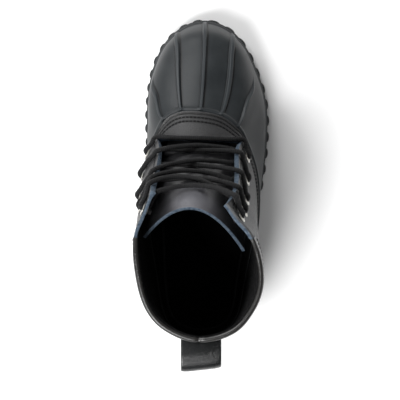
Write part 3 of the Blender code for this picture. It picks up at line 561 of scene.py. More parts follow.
outsole_rubber = rubber_material(
    "outsole_rubber", linear(30, 32, 33), linear(42, 44, 45), 0.42, 0.58, 0.00012,
)
sole_around = np.arange(SOLE_COLUMNS) / SOLE_COLUMNS
slab = slab_rings(sole_around)
outsole = make_piece(
    "outsole", slab.reshape(-1, 3), ring_faces(len(slab), SOLE_COLUMNS, True, True), outsole_rubber,
)
# The band's upper edge is painted pale: rubbing and a painted highlight.
slab_proud = np.zeros((len(slab), SOLE_COLUMNS))
slab_proud[BAND_RUB_HIGHLIGHT] = 1.0
add_mask(outsole, "proud", slab_proud)
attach(outsole, "root")
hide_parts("outsole")

lugs = set_on_places(
    "outsole_lugs", lug_shape(), *lug_places(), (1.0, 1.0, 1.0), outsole_rubber,
)
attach(lugs, "root")

cleats = cleat_places()
cleat_rises = ground_height(cleats[:, 1] + 1.0) - ground_height(cleats[:, 1])
cleat_zeros, cleat_ones = np.zeros(len(cleats)), np.ones(len(cleats))
cleat_slopes = np.stack([cleat_zeros, cleat_ones, cleat_rises], axis=1)
cleat_ups = unit(np.stack([cleat_zeros, -cleat_rises, cleat_ones], axis=1))
tread = set_on_places(
    "outsole_cleats", cleat_shape(), cleats, unit(cleat_slopes), cleat_ups,
    np.ones((len(cleats), 3)), (CLEAT_SIZE, CLEAT_SIZE, TREAD_DEPTH + CLEAT_ROOT), outsole_rubber,
)
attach(tread, "root")


# Insole: a flat footbed of foam under woven cloth, laid loose on the outsole inside the shell. Its
# rim is pressed up a little by the shell's wall and its edge is rounded over.
INSOLE_COLUMNS = 180
# From the underside to the middle: inset from the foot line, height above the seat.
INSOLE_SIDE = ((5.6, 0.3), (5.2, 0.8), (5.2, 3.0), (5.7, 3.6), (7.5, 3.8), (14.0, 3.4), (24.0, 3.2))


def weave_group():
    """Crossing threads: a checked height, and a speckle of paler threads."""
    group, entry, leave = new_group(
        "cloth_weave", {"Thread scale": 1400.0, "Speckle scale": 900.0}, ("Height", "Speckle"),
    )
    where = add_node(group, "ShaderNodeTexCoord").outputs["Object"]
    threads = []
    for direction in ("X", "Y", "Z"):
        wave = add_node(group, "ShaderNodeTexWave", {
            "Vector": where, "Scale": entry.outputs["Thread scale"], "Distortion": 1.5, "Detail": 1.0,
        }, bands_direction=direction)
        threads.append(wave.outputs["Fac"])
    pair = add_node(group, "ShaderNodeMath", {0: threads[0], 1: threads[1]}, operation="ADD")
    third = add_node(group, "ShaderNodeMath", {0: pair.outputs[0], 1: threads[2]}, operation="ADD")
    fleck = add_node(group, "ShaderNodeTexVoronoi", {
        "Vector": where, "Scale": entry.outputs["Speckle scale"],
    })
    bright = add_node(group, "ShaderNodeSeparateColor", {"Color": fleck.outputs["Color"]})
    some = add_node(group, "ShaderNodeMapRange", {
        "Value": bright.outputs["Red"], "From Min": 0.72, "From Max": 0.95,
    })
    group.links.new(third.outputs[0], leave.inputs["Height"])
    group.links.new(some.outputs["Result"], leave.inputs["Speckle"])
    return group


CLOTH_WEAVE = weave_group()


def cloth_material(name, dark, fleck, share):
    """Woven cloth with paler flecks of thread."""
    made, tree, shader = new_material(name, Specular_IOR_Level=0.2)
    weave = add_node(tree, "ShaderNodeGroup", node_tree=CLOTH_WEAVE)
    flecks = spread(tree, weave.outputs["Speckle"], 0.0, 1.0, 0.0, share)
    link_shader(
        tree, shader,
        Base_Color=mix_colour(tree, flecks, dark, fleck),
        Roughness=spread(tree, weave.outputs["Height"], 0.0, 3.0, 0.98, 0.85),
        Normal=bump(tree, weave.outputs["Height"], 0.0002),
    )
    return made


# The insole's near-black ground is partly the cloth's own colour and partly painted shade, for the dark
# inside of the boot.
insole_cloth = cloth_material("insole_cloth", linear(4, 4, 5), linear(14, 14, 15), 0.4)
insole_rings = []
insole_around = np.arange(INSOLE_COLUMNS) / INSOLE_COLUMNS
for inset, height in INSOLE_SIDE:
    plan = outline(insole_around, -inset)
    insole_rings.append(np.column_stack([plan, seat_height(plan[:, 1]) + height]))
insole = make_piece(
    "insole", np.concatenate(insole_rings),
    ring_faces(len(INSOLE_SIDE), INSOLE_COLUMNS, True, True), insole_cloth,
)
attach(insole, "root")
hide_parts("insole")


# Rubber shell: the hollow bottom of the upper, moulded in one piece of satin black rubber. Five
# raised ribs fan over the toe and end in bumps on the bead that runs along its rim, and the leather
# shaft is stitched inside that bead.
# How far a wall's curve follows its direction at each end, as a share of the distance between them: the
# shell's at the foot and at the rim, then the shaft's at the rim and at the top.
FOOT_PULL = 0.38
RIM_PULL = 0.42
SHAFT_PULL = 0.32
TOP_PULL = 0.33
FINE_STEPS = 241
NEAR = 1e-9
SHELL_WALL = 3.0
SHELL_COLUMNS = 420
# An even column stays clear of a rib's own columns by this share of the even step.
COLUMN_CLEAR = 0.3
SHELL_ROWS = 50
# Each rib's share of its height left at the sole, where it starts to rise above that, and over what
# length.
RIB_FADES = {
    "rib_outer_lateral": (0.0, 22.0, 28.0),
    "rib_inner_lateral": (0.4, 0.0, 18.0),
    "rib_toe": (0.5, 0.0, 14.0),
    "rib_inner_medial": (0.4, 0.0, 18.0),
    "rib_outer_medial": (0.0, 24.0, 28.0),
}
# A rib's height, then in shares of the way round the boot its half width at the foot and on the crest,
# and how far its own close columns reach from its middle.
RIB_HEIGHT = 2.4
RIB_HALF = 0.0045
RIB_CREST_HALF = 0.0015
RIB_REACH = 0.0062
RIB_STEPS = 33
# The outer ribs bend towards the toe, most at this share of the wall's length.
RIB_BENDS = {"rib_outer_lateral": 0.014, "rib_outer_medial": -0.011}
RIB_BEND_AT = 0.72
RIB_BEND_HALF = 0.2
# Along a rib's foot runs a sharp crease: its place from the rib's middle, half width, depth, how dark it is
# painted on the outer and on the inner side as the shade in it, darker on the outer side away from the lamps,
# and how much wider the painted shade is than the crease.
RIB_FOOT = 0.0049
RIB_FOOT_HALF = 0.0007
RIB_FOOT_DEPTH = 0.6
RIB_FOOT_SHADE = (1.0, 0.45)
RIB_FOOT_SPREAD = 1.5
# The bump at a rib's end makes the bead higher by this share, over this half width.
KNOB_HALF = 0.0052
KNOB_HEIGHT = 1.1
# The lip at the shell's foot: how far out, how high, and the length over which it runs into the wall.
FOOT_LIP = (1.4, 1.2, 2.6)
SHELL_ROW_POWER = 1.35
BEAD_WIDTH = 4.5
# Across the bead from the shell to the rim: share of its width, height above the wall.
BEAD_SECTION = (
    (0.0, 0.0), (0.16, 0.2), (0.33, 0.7), (0.48, 1.0), (0.62, 1.12), (0.76, 1.08), (0.88, 0.85),
    (0.97, 0.45), (1.0, 0.0), (1.0, -1.2),
)
# A soft trough's depth at its two ends, as a share of its depth half way.
CREASE_END = 0.2
# Soft troughs in the shell: from and to in x, y, z, then width and depth.
SHELL_CREASES = (
    ((57.0, 190.0, 22.0), (44.0, 206.0, 52.0), 7.0, 0.5),
    ((-47.0, 198.0, 22.0), (-42.0, 206.0, 48.0), 7.0, 0.5),
    ((-26.0, 224.0, 72.0), (22.0, 222.0, 73.0), 9.0, 0.45),
    ((-30.0, 238.0, 64.0), (28.0, 236.0, 65.0), 8.0, 0.35),
)
# The shoulder over the toe, where the top turns down to the front: x and y along it, its half width,
# how far it stands out, and the length up from the sole over which it comes in.
TOE_SHOULDER = (
    (-33.0, 258.0), (-26.0, 271.0), (-18.0, 278.0), (-9.0, 281.0), (4.0, 282.5), (18.0, 281.0), (28.0, 276.5),
    (36.0, 267.0), (42.0, 254.0),
)
TOE_SHOULDER_HALF = 7.0
TOE_SHOULDER_HEIGHT = 2.0
TOE_SHOULDER_FADE = 10.0
SHARP_ANGLE = math.radians(50)


def wall_way(slope, rise):
    """The direction up a wall that leans inwards from a rail by its rise."""
    inward = unit(np.stack([-slope[:, 1], slope[:, 0]], axis=1))
    angle = np.radians(rise)[:, None]
    return np.concatenate([np.cos(angle) * inward, np.sin(angle)], axis=1)


def rails(around):
    """Points and wall directions on the foot line, the rim and the top edge."""
    value = LAST.at(around)
    slope = LAST.slope(around)
    foot = np.concatenate([value[:, 0:2], seat_height(value[:, 1])[:, None] + GAP], axis=1)
    points = foot, value[:, 2:5], value[:, 5:8]
    ways = (
        wall_way(slope[:, 0:2], value[:, 8]),
        wall_way(slope[:, 2:4], value[:, 9]),
        wall_way(slope[:, 5:7], value[:, 10]),
    )
    return points, ways


def span(start, end):
    return np.linalg.norm(end - start, axis=1, keepdims=True)


def shell_wall(around):
    """Control points of the wall between the sole and the rim."""
    (foot, rim, _), (foot_way, rim_way, _) = rails(around)
    reach = span(foot, rim)
    return np.stack([foot, foot + FOOT_PULL * reach * foot_way, rim - RIM_PULL * reach * rim_way, rim])


def fine_walk(control):
    """Points close together along each wall, and their lengths from its lower end."""
    share = np.linspace(0, 1, FINE_STEPS)[:, None, None]
    rest = 1 - share
    points = rest**3 * control[0] + 3 * rest * rest * share * control[1]
    points = points + 3 * rest * share * share * control[2] + share**3 * control[3]
    steps = np.linalg.norm(np.diff(points, axis=0), axis=2)
    lengths = np.concatenate([np.zeros((1, steps.shape[1])), np.cumsum(steps, axis=0)])
    return points, lengths


def walk(control, lengths):
    """Points on each wall at the given lengths from its lower end, a row for each length."""
    points, runs = fine_walk(control)
    found = np.empty((len(lengths), points.shape[1], 3))
    for column in range(points.shape[1]):
        for axis in range(3):
            found[:, column, axis] = np.interp(lengths[:, column], runs[:, column], points[:, column, axis])
    return found


def wall_length(control):
    return fine_walk(control)[1][-1]


def grid_normals(points, cells):
    """Outward unit normals at a grid's points, averaged over the cells that exist."""
    columns = cells.shape[1]
    after = np.roll(points, -1, axis=1)[:, :columns]
    here = points[:, :columns]
    normal = np.cross(after[1:] - here[:-1], here[1:] - after[:-1]) * cells[..., None]
    total = np.zeros_like(points)
    for row in (slice(None, -1), slice(1, None)):
        total[row, :columns] += normal
        total[row] += np.roll(np.pad(normal, ((0, 0), (0, points.shape[1] - columns), (0, 0))), 1, axis=1)
    lengths = np.linalg.norm(total, axis=2, keepdims=True)
    return total / np.where(lengths > 0, lengths, 1.0)


def wall_faces(shape, cells):
    """Faces of a wall's outer side, those of its inner side, and the outer side's border, as pairs of
    point numbers with the wall on their left."""
    rows, columns = shape
    outer, border = [], []
    for row, column in zip(*np.nonzero(cells)):
        after = (column + 1) % columns
        corners = (row, column), (row, after), (row + 1, after), (row + 1, column)
        numbers = [int(level * columns + place) for level, place in corners]
        outer.append(numbers)
        beside = (row - 1, column), (row, column + 1), (row + 1, column), (row, column - 1)
        for side, (level, place) in enumerate(beside):
            if cells.shape[1] == columns:
                place %= columns
            within = 0 <= level < cells.shape[0] and 0 <= place < cells.shape[1]
            if not (within and cells[level, place]):
                border.append((numbers[side], numbers[(side + 1) % 4]))
    inner = [[number + rows * columns for number in reversed(face)] for face in outer]
    return outer, inner, border


def make_wall(name, outer, inner, cells, finishes, section=()):
    """A closed wall between two grids, with a finish for its outer side, its inner side and its cut
    edge. The edge's section gives shares through the wall and how far the edge stands out there."""
    outer_faces, inner_faces, border = wall_faces(outer.shape[:2], cells)
    points = np.concatenate([outer.reshape(-1, 3), inner.reshape(-1, 3)])
    half = len(points) // 2
    push = np.zeros((half, 3))
    through = unit(points[:half] - points[half:] + NEAR)
    for start, end in border:
        out = np.cross(points[end] - points[start], through[start])
        push[[start, end]] += out
    ends = sorted({number for pair in border for number in pair})
    push[ends] = unit(push[ends])
    place = {number: index for index, number in enumerate(ends)}
    levels = [dict(zip(ends, ends))]
    for share, proud in section:
        first = len(points)
        strip = points[ends] * (1 - share) + points[[number + half for number in ends]] * share
        points = np.concatenate([points, strip + proud * push[ends]])
        levels.append({number: first + place[number] for number in ends})
    levels.append({number: number + half for number in ends})
    edge_faces = []
    for low, high in zip(levels[:-1], levels[1:]):
        edge_faces += [[low[end], low[start], high[start], high[end]] for start, end in border]
    faces = outer_faces + inner_faces + edge_faces
    used = np.zeros(len(points), bool)
    used[[number for face in faces for number in face]] = True
    renumbered = np.cumsum(used) - 1
    faces = [[int(renumbered[number]) for number in face] for face in faces]
    materials = list(dict.fromkeys(finishes.values()))
    piece = make_piece(name, points[used], faces, *materials)
    kinds = ["outer"] * len(outer_faces) + ["inner"] * len(inner_faces) + ["edge"] * len(edge_faces)
    piece.data.polygons.foreach_set("material_index", [materials.index(finishes[kind]) for kind in kinds])
    piece.data.set_sharp_from_angle(angle=SHARP_ANGLE)
    return piece, used


def spread_mask(values, used):
    """A value for each of a wall's points, from values on its two grids; 1 on its cut edge."""
    whole = np.ones(len(used))
    whole[: values.size] = values.ravel()
    return whole[used]


def eased(value):
    """0 to 1 with a soft start and end."""
    value = np.clip(value, 0.0, 1.0)
    return value * value * (3 - 2 * value)


def groove(away, half_width, depth):
    """The depth of a soft groove at a distance from its middle."""
    return depth * np.exp(-((away / half_width) ** 2))


def from_line(points, start, end):
    """Each point's share of the way along a straight line, and how far it lies from it."""
    way = end - start
    share = np.clip((points - start) @ way / way.dot(way), 0.0, 1.0)
    return share, np.linalg.norm(points - start - share[..., None] * way, axis=-1)


def creased(points, creases):
    """How deep each point lies in the soft troughs of a table."""
    depth = np.zeros(points.shape[:-1])
    for start, end, width, deep in creases:
        share, away = from_line(points, np.array(start), np.array(end))
        middle = np.sqrt(np.clip(4 * share * (1 - share), 0.0, 1.0))
        depth += (middle * (1 - CREASE_END) + CREASE_END) * groove(away, width, deep)
    return depth


def toe_shoulder(points):
    """How far the shoulder over the toe raises each point."""
    line = np.array(TOE_SHOULDER)
    nearest = np.full(points.shape[:-1], np.inf)
    for start, end in zip(line[:-1], line[1:]):
        nearest = np.minimum(nearest, from_line(points[..., :2], start, end)[1])
    ends = eased((points[..., 1] - line[0, 1] + TOE_SHOULDER_HALF) / (3 * TOE_SHOULDER_HALF))
    return groove(nearest, TOE_SHOULDER_HALF, TOE_SHOULDER_HEIGHT) * ends


def rib_places(around, lengths, total):
    """For each rib, how far round the boot each point lies from its middle, and its share of height."""
    for name, (left, begin, reach) in RIB_FADES.items():
        bend = groove(lengths / total - RIB_BEND_AT, RIB_BEND_HALF, RIB_BENDS.get(name, 0.0))
        yield around - KEY[name] - bend, left + (1 - left) * eased((lengths - begin) / reach)


def rib_lift(around, lengths, total):
    """How far the ribs raise each point of the wall, or sink it along their feet."""
    lift = np.zeros(lengths.shape)
    for away, share in rib_places(around, lengths, total):
        rise = RIB_HEIGHT * eased((RIB_HALF - np.abs(away)) / (RIB_HALF - RIB_CREST_HALF))
        lift += share * (rise - groove(np.abs(away) - RIB_FOOT, RIB_FOOT_HALF, RIB_FOOT_DEPTH))
    return lift


def rib_crease_shade(around, lengths, total):
    """How dark each point is painted as the shade in the creases along the ribs' feet."""
    dark = np.zeros(lengths.shape)
    for away, share in rib_places(around, lengths, total):
        for side, most in zip((-1, 1), RIB_FOOT_SHADE):
            from_crease = away - side * RIB_FOOT
            dark += share * groove(from_crease, RIB_FOOT_SPREAD * RIB_FOOT_HALF, most)
    return dark


def rib_knob(around):
    """1 where a rib ends on the bead, 0 away from the ribs."""
    return sum(groove(around - KEY[name], KNOB_HALF, 1.0) for name in RIB_FADES)


def shell_columns():
    """Places round the boot, even but closer together across the ribs."""
    places = np.arange(SHELL_COLUMNS) / SHELL_COLUMNS
    for name in RIB_FADES:
        bend = RIB_BENDS.get(name, 0.0)
        low, high = KEY[name] + min(bend, 0.0) - RIB_REACH, KEY[name] + max(bend, 0.0) + RIB_REACH
        ribbed = np.linspace(low, high, round(RIB_STEPS * (high - low) / (2 * RIB_REACH)))
        clear = COLUMN_CLEAR / SHELL_COLUMNS
        apart = (places < low - clear) | (places > high + clear)
        places = np.concatenate([places[apart], ribbed])
    return np.sort(places)


shell_rubber = rubber_material(
    "shell_rubber", linear(32, 35, 37), linear(42, 45, 47), 0.42, 0.52, 0.00005,
)
# The shell's lining is near-black: partly the cloth's own colour and partly painted shade inside the boot.
shell_lining = cloth_material("shell_lining", linear(2, 2, 2), linear(12, 12, 13), 0.2)
shell_around = shell_columns()
shell_control = shell_wall(shell_around)
shell_total = wall_length(shell_control)
bead_shares = np.array(BEAD_SECTION)
shell_lengths = np.concatenate([
    np.outer(np.linspace(0, 1, SHELL_ROWS)[:-1] ** SHELL_ROW_POWER, shell_total - BEAD_WIDTH),
    shell_total - BEAD_WIDTH * (1 - bead_shares[:, :1]),
])
shell_base = walk(shell_control, shell_lengths)
shell_cells = np.ones((len(shell_base) - 1, len(shell_around)), bool)
shell_even = walk(shell_control, np.outer(np.linspace(0, 1, len(shell_base)), shell_total))
shell_normals = grid_normals(shell_even, shell_cells)
shell_raised = rib_lift(shell_around, shell_lengths, shell_total)
bead_rise = np.zeros((len(shell_base), 1))
bead_rise[SHELL_ROWS - 1 :, 0] = bead_shares[:, 1]
beaded = bead_rise * (1 + KNOB_HEIGHT * rib_knob(shell_around))
shell_raised = np.where(bead_rise > 0, np.maximum(shell_raised * (1 - bead_rise), beaded), shell_raised)
shell_raised[-1] = bead_shares[-1, 1]
lip_out, lip_high, lip_reach = FOOT_LIP
shell_lip = lip_out * eased(1 - (shell_lengths - lip_high) / lip_reach)
shell_raised = np.maximum(shell_raised, shell_lip)
shell_shoulder = toe_shoulder(shell_base) * eased(shell_lengths / TOE_SHOULDER_FADE)
shell_dents = creased(shell_base, SHELL_CREASES) - shell_shoulder
shell_outer = shell_base + (shell_raised - shell_dents)[..., None] * shell_normals
shell_inner = shell_base - (SHELL_WALL + shell_dents)[..., None] * shell_normals
shell_inner[0] = np.column_stack([outline(shell_around, -SHELL_WALL), shell_base[0, :, 2]])
shell_outer[0, :, 2] = shell_base[0, :, 2]
shell, shell_used = make_wall(
    "rubber_shell", shell_outer, shell_inner, shell_cells,
    {"outer": shell_rubber, "inner": shell_lining, "edge": shell_rubber},
)
# The ribs' feet are darkened as painted shade, away from the bead.
shell_crease_shade = rib_crease_shade(shell_around, shell_lengths, shell_total) * (bead_rise == 0)
# Raised places, the rib crests, the bead with its bumps and the foot's lip, are painted pale, partly as
# rubbing and partly as a painted highlight; the ribs' feet are painted dark as shade.
shell_highlight_and_shade = np.concatenate([
    np.maximum(shell_raised / RIB_HEIGHT, 0.0) - shell_crease_shade, np.zeros(shell_raised.shape),
])
add_mask(shell, "proud", spread_mask(shell_highlight_and_shade, shell_used))
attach(shell, "root")
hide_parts("rubber_shell")


# Leather shaft: black grain leather in one wall, a low strip over the vamp and two tall flaps whose
# doubled leather is cut raw along the throat. It is sewn in two rows inside the shell's bead, lined
# with dark cloth and closed by a seam down the back.
LEATHER = 2.4
CORNER_RISE = 11.0
THROAT_CREST = 13.0
SHAFT_SPACING = 0.0024
SHAFT_LOW_ROWS = 27
SHAFT_HIGH_ROWS = 76
FRAME_STEP = 0.002
INSET_REACH = 0.12
INSET_STEPS = 49
# Each eyelet up the wall from the rim, and behind the front edge.
EYELET_ROWS = ((18.0, 15.4), (50.0, 25.4), (84.0, 27.4), (113.0, 23.4), (135.0, 18.4))
EYELET_CUT = 3.3
BINDING_FROM = "instep_medial"
BINDING_TO = "instep_lateral"
# Near its raw edges the leather is doubled, and each edge is a little round.
DOUBLED_REACH = 7.0
DOUBLED_OUT = 1.0
DOUBLED_IN = 1.3
DOUBLED_TOP = {"lateral": 0.8, "medial": 0.1}
RAW_EDGE = ((0.1, 0.22), (0.35, 0.4), (0.65, 0.4), (0.9, 0.22))
# The grain side is rolled over this many strips of the outer flap's top edge, where it faces up this
# much.
ROLLED_STRIPS = 2
ROLLED_UP = 0.5
# Soft grooves along the rim: up from it, half width, depth. The last two hold the stitches.
RIM_GROOVES = ((2.0, 0.9, 1.4), (6.3, 0.9, 0.7), (10.2, 0.9, 0.7))
# The grooves are darkened as painted shade, fully from this depth.
GROOVE_SHADE_DEPTH = 0.7
RIM_SEAM_POINTS = 900
# The seam along the raw edges: behind them, its groove's half width and depth, and where it starts above
# the throat's corner. Along the top it stops short of the binding by a share of the way round.
EDGE_SEAM = 5.0
EDGE_GROOVE = (1.0, 0.3)
EDGE_SEAM_START = 3.0
EDGE_SEAM_POINTS = 60
TOP_SEAM_POINTS = 40
TOP_SEAM_CLEAR = 0.006
# The seam down the back: its two rows' distance from the middle, the groove's half width and depth, and
# the rows' lower and upper end above the rim.
BACK_SEAM = 2.6
BACK_GROOVE = (0.9, 0.5)
BACK_SEAM_SPAN = (14.0, 74.0)
BACK_SEAM_POINTS = 80
BACK_STEP = 0.01
# How far behind a raw edge the leather is painted pale, partly as rubbing and partly as a painted highlight
# along the edge.
RUB_HIGHLIGHT_REACH = 2.5
# How far leather goes towards its pale tone where it shows wear, and where it is rubbed and a highlight is
# painted on it, and towards black in a groove as painted shade.
LEATHER_WEAR = 0.22
LEATHER_RUB_HIGHLIGHT = 0.5
LEATHER_GROOVE_SHADE = 0.9
STITCH_PITCH = 3.5
STITCH_SIZE = (3.1, 1.25, 0.8)
STITCH_SIDES = 8
STITCH_STEPS = 6
# The creases come in over these lengths from a raw edge and from the rim, and from the first to the
# second below the top edge.
CREASE_OFF_RAW = 20.0
CREASE_OFF_RIM = 16.0
CREASE_OFF_TOP = (14.0, 24.0)
# Creases in the leg: from and to in x, y, z, then width and depth, a ridge where the depth is below 0.
SHAFT_CREASES = (
    ((50.0, 128.0, 74.0), (38.0, 60.0, 92.0), 8.0, 1.1),
    ((51.0, 110.0, 92.0), (44.0, 62.0, 104.0), 7.0, 0.8),
    ((49.0, 118.0, 83.0), (42.0, 64.0, 98.0), 5.0, -0.7),
    ((-50.0, 128.0, 78.0), (-44.0, 62.0, 94.0), 8.0, 1.0),
    ((-52.0, 108.0, 98.0), (-48.0, 62.0, 108.0), 7.0, 0.7),
    ((-51.0, 116.0, 88.0), (-46.0, 62.0, 101.0), 5.0, -0.6),
    ((22.0, 14.0, 96.0), (-18.0, 13.0, 99.0), 8.0, 0.8),
    ((48.0, 92.0, 150.0), (47.0, 64.0, 128.0), 10.0, 0.7),
    ((-52.0, 90.0, 152.0), (-51.0, 62.0, 130.0), 10.0, 0.7),
)


def leg_wall(around):
    """Control points of the wall between the rim and the top edge of the leg."""
    (_, rim, top), (_, rim_way, top_way) = rails(around)
    reach = span(rim, top)
    return np.stack([rim, rim + SHAFT_PULL * reach * rim_way, top - TOP_PULL * reach * top_way, top])


def vamp_wall(around):
    """Control points of the strip between the rim's arch and the lower end of the throat."""
    (_, rim, _), (_, rim_way, _) = rails(around)
    edges = np.array([KEY["edge_lateral"], KEY["edge_medial"]])
    (_, rim_ends, _), _ = rails(edges)
    corners = walk(leg_wall(edges), np.full((1, 2), CORNER_RISE))[0]
    share = (rim[:, 0:1] - rim_ends[0, 0]) / (rim_ends[1, 0] - rim_ends[0, 0])
    throat = corners[0] + share * (corners[1] - corners[0])
    throat[:, 2] += THROAT_CREST * 4 * (share * (1 - share))[:, 0]
    reach = span(rim, throat)
    return np.stack([rim, rim + reach * rim_way / 3, throat - (throat - rim) / 3, throat])


def in_throat(around):
    """Whether a place round the boot lies between the two front edges."""
    return (around > KEY["edge_lateral"] + NEAR) & (around < KEY["edge_medial"] - NEAR)


def upper_control(around):
    """Control points above the rim: the leg's wall, and in the throat the vamp strip."""
    around = np.mod(around, 1.0)
    control = leg_wall(around)
    throat = in_throat(around)
    if throat.any():
        control[:, throat] = vamp_wall(around[throat])
    return control


def leg_frame(around, length):
    """One point of the leg's outer face, with the directions out of it, along it and up it."""
    control = leg_wall(np.array([around - FRAME_STEP, around, around + FRAME_STEP]))
    points = walk(control, np.array([[length - 1.0] * 3, [length] * 3, [length + 1.0] * 3]))
    along = unit(points[1, 2] - points[1, 0])
    up = unit(points[2, 1] - points[0, 1])
    return points[1, 1], unit(np.cross(along, up)), along, up


def run_along(points):
    """The length along a line of points up to each of them."""
    return np.concatenate([[0.0], np.cumsum(np.linalg.norm(np.diff(points, axis=0), axis=1))])


def inset_from_edge(side, length, inset):
    """The place round the boot that lies an inset behind a front edge of the shaft."""
    way = -1 if side == "lateral" else 1
    around = KEY["edge_" + side] + way * np.linspace(0, INSET_REACH, INSET_STEPS)
    points = walk(leg_wall(around), np.full((1, INSET_STEPS), length))[0]
    return np.interp(inset, run_along(points), around)


def eyelet_places(side):
    """Each eyelet's middle in a flap, with the directions out of and along the leather."""
    places = []
    for length, inset in EYELET_ROWS:
        point, normal, along, _ = leg_frame(inset_from_edge(side, length, inset), length)
        places.append((point, normal, along))
    return places


def shaft_columns():
    """Places round the boot in even steps, with one on each front edge."""
    stops = 0.0, KEY["edge_lateral"], KEY["edge_medial"], 1.0
    stretches = []
    for start, end in zip(stops[:-1], stops[1:]):
        steps = math.ceil((end - start) / SHAFT_SPACING)
        stretches.append(np.linspace(start, end, steps + 1)[:-1])
    return np.concatenate(stretches)


def shaft_lengths(around, total):
    """Lengths up the wall of the shaft's rows: to the throat's corner, then to the top edge."""
    corner = np.where(in_throat(around), total, CORNER_RISE)
    low = GAP + np.linspace(0, 1, SHAFT_LOW_ROWS)[:, None] * (corner - GAP)
    high = corner + np.linspace(0, 1, SHAFT_HIGH_ROWS)[1:, None] * (total - corner)
    return np.concatenate([low, high])


def behind_front(points, around):
    """How far each point lies behind the nearest front edge, along its row."""
    steps = np.linalg.norm(np.roll(points, -1, axis=1) - points, axis=2)
    run = np.concatenate([np.zeros((len(points), 1)), np.cumsum(steps, axis=1)], axis=1)
    lateral = int(np.argmin(np.abs(around - KEY["edge_lateral"])))
    medial = int(np.argmin(np.abs(around - KEY["edge_medial"])))
    columns = np.arange(len(around))
    from_lateral = run[:, lateral : lateral + 1] - run[:, :-1]
    from_medial = run[:, :-1] - run[:, medial : medial + 1]
    return np.where(columns <= lateral, from_lateral, np.where(columns >= medial, from_medial, 0.0))


def on_upper(around, lengths):
    """Points of the upper's outer face and the directions out of it."""
    before, here, after = (upper_control(around + step) for step in (-FRAME_STEP, 0.0, FRAME_STEP))
    low, middle, high = walk(here, np.stack([lengths - 1.0, lengths, lengths + 1.0]))
    along = walk(after, lengths[None])[0] - walk(before, lengths[None])[0]
    return middle, unit(np.cross(along, high - low))


def stitch_line(points, outs):
    """Place, way and out of each stitch along a line of points."""
    run = run_along(points)
    count = max(2, round(run[-1] / STITCH_PITCH))
    middles = (np.arange(count) + 0.5) * run[-1] / count
    half = STITCH_SIZE[0] / 2

    def at(values, places):
        return np.column_stack([np.interp(places, run, values[:, axis]) for axis in range(3)])

    ways = unit(at(points, middles + half) - at(points, middles - half))
    return at(points, middles), ways, unit(at(outs, middles))


def stitch_shape():
    """One stitch: a short thread, round and pulled down at its ends."""
    turns = np.arange(STITCH_SIDES) * 2 * math.pi / STITCH_SIDES
    circle = np.column_stack([0 * turns, np.cos(turns), np.sin(turns)])
    leans = np.arange(1, STITCH_STEPS) * math.pi / STITCH_STEPS
    rings = [np.sin(lean) * circle - (np.cos(lean), 0, 0) for lean in leans]
    points = np.concatenate([*rings, [(-1, 0, 0), (1, 0, 0)]]) / 2
    faces = ring_faces(len(rings), STITCH_SIDES, False, False)
    back, front = len(points) - 2, len(points) - 1
    for side in range(STITCH_SIDES):
        after = (side + 1) % STITCH_SIDES
        faces += [[back, after, side], [front, back - STITCH_SIDES + side, back - STITCH_SIDES + after]]
    return shape_object("stitch_shape", points, faces)


def sew(name, lines, finish):
    """Rows of stitches as one piece, from lines of points and the directions out of them."""
    rows = [stitch_line(*line) for line in lines]
    places, ways, outs = (np.concatenate([row[number] for row in rows]) for number in range(3))
    return set_on_places(
        name, stitch_shape(), places, ways, outs, np.ones((len(places), 3)), STITCH_SIZE, finish,
    )


def leather_grain_group():
    """Grain cells of leather with fine pores, a cloudy tone and patches of wear."""
    group, entry, leave = new_group(
        "leather_grain", {"Cell scale": 620.0, "Pore scale": 2600.0, "Tone scale": 22.0},
        ("Height", "Tone", "Wear"),
    )
    where = add_node(group, "ShaderNodeTexCoord").outputs["Object"]
    bent = add_node(group, "ShaderNodeTexNoise", {"Vector": where, "Scale": 180.0, "Detail": 2.0})
    warp = add_node(group, "ShaderNodeVectorMath", {
        0: bent.outputs["Color"], "Scale": 0.0012,
    }, operation="SCALE")
    moved = add_node(group, "ShaderNodeVectorMath", {0: where, 1: warp.outputs["Vector"]}, operation="ADD")
    cells = add_node(group, "ShaderNodeTexVoronoi", {
        "Vector": moved.outputs["Vector"], "Scale": entry.outputs["Cell scale"], "Randomness": 1.0,
    }, feature="DISTANCE_TO_EDGE")
    raised = add_node(group, "ShaderNodeMapRange", {
        "Value": cells.outputs["Distance"], "From Min": 0.0, "From Max": 0.22,
    }, interpolation_type="SMOOTHSTEP")
    pores = add_node(group, "ShaderNodeTexNoise", {
        "Vector": where, "Scale": entry.outputs["Pore scale"], "Detail": 2.0,
    })
    height = add_node(group, "ShaderNodeMath", {
        0: pores.outputs["Fac"], 1: 0.35, 2: raised.outputs["Result"],
    }, operation="MULTIPLY_ADD")
    tone = add_node(group, "ShaderNodeTexNoise", {
        "Vector": where, "Scale": entry.outputs["Tone scale"], "Detail": 5.0, "Roughness": 0.6,
    })
    rub = add_node(group, "ShaderNodeTexNoise", {
        "Vector": where, "Scale": 75.0, "Detail": 6.0, "Roughness": 0.7,
    })
    wear = add_node(group, "ShaderNodeMapRange", {
        "Value": rub.outputs["Fac"], "From Min": 0.55, "From Max": 0.75,
    }, interpolation_type="SMOOTHSTEP")
    group.links.new(height.outputs[0], leave.inputs["Height"])
    group.links.new(tone.outputs["Fac"], leave.inputs["Tone"])
    group.links.new(wear.outputs["Result"], leave.inputs["Wear"])
    return group


LEATHER_GRAIN = leather_grain_group()


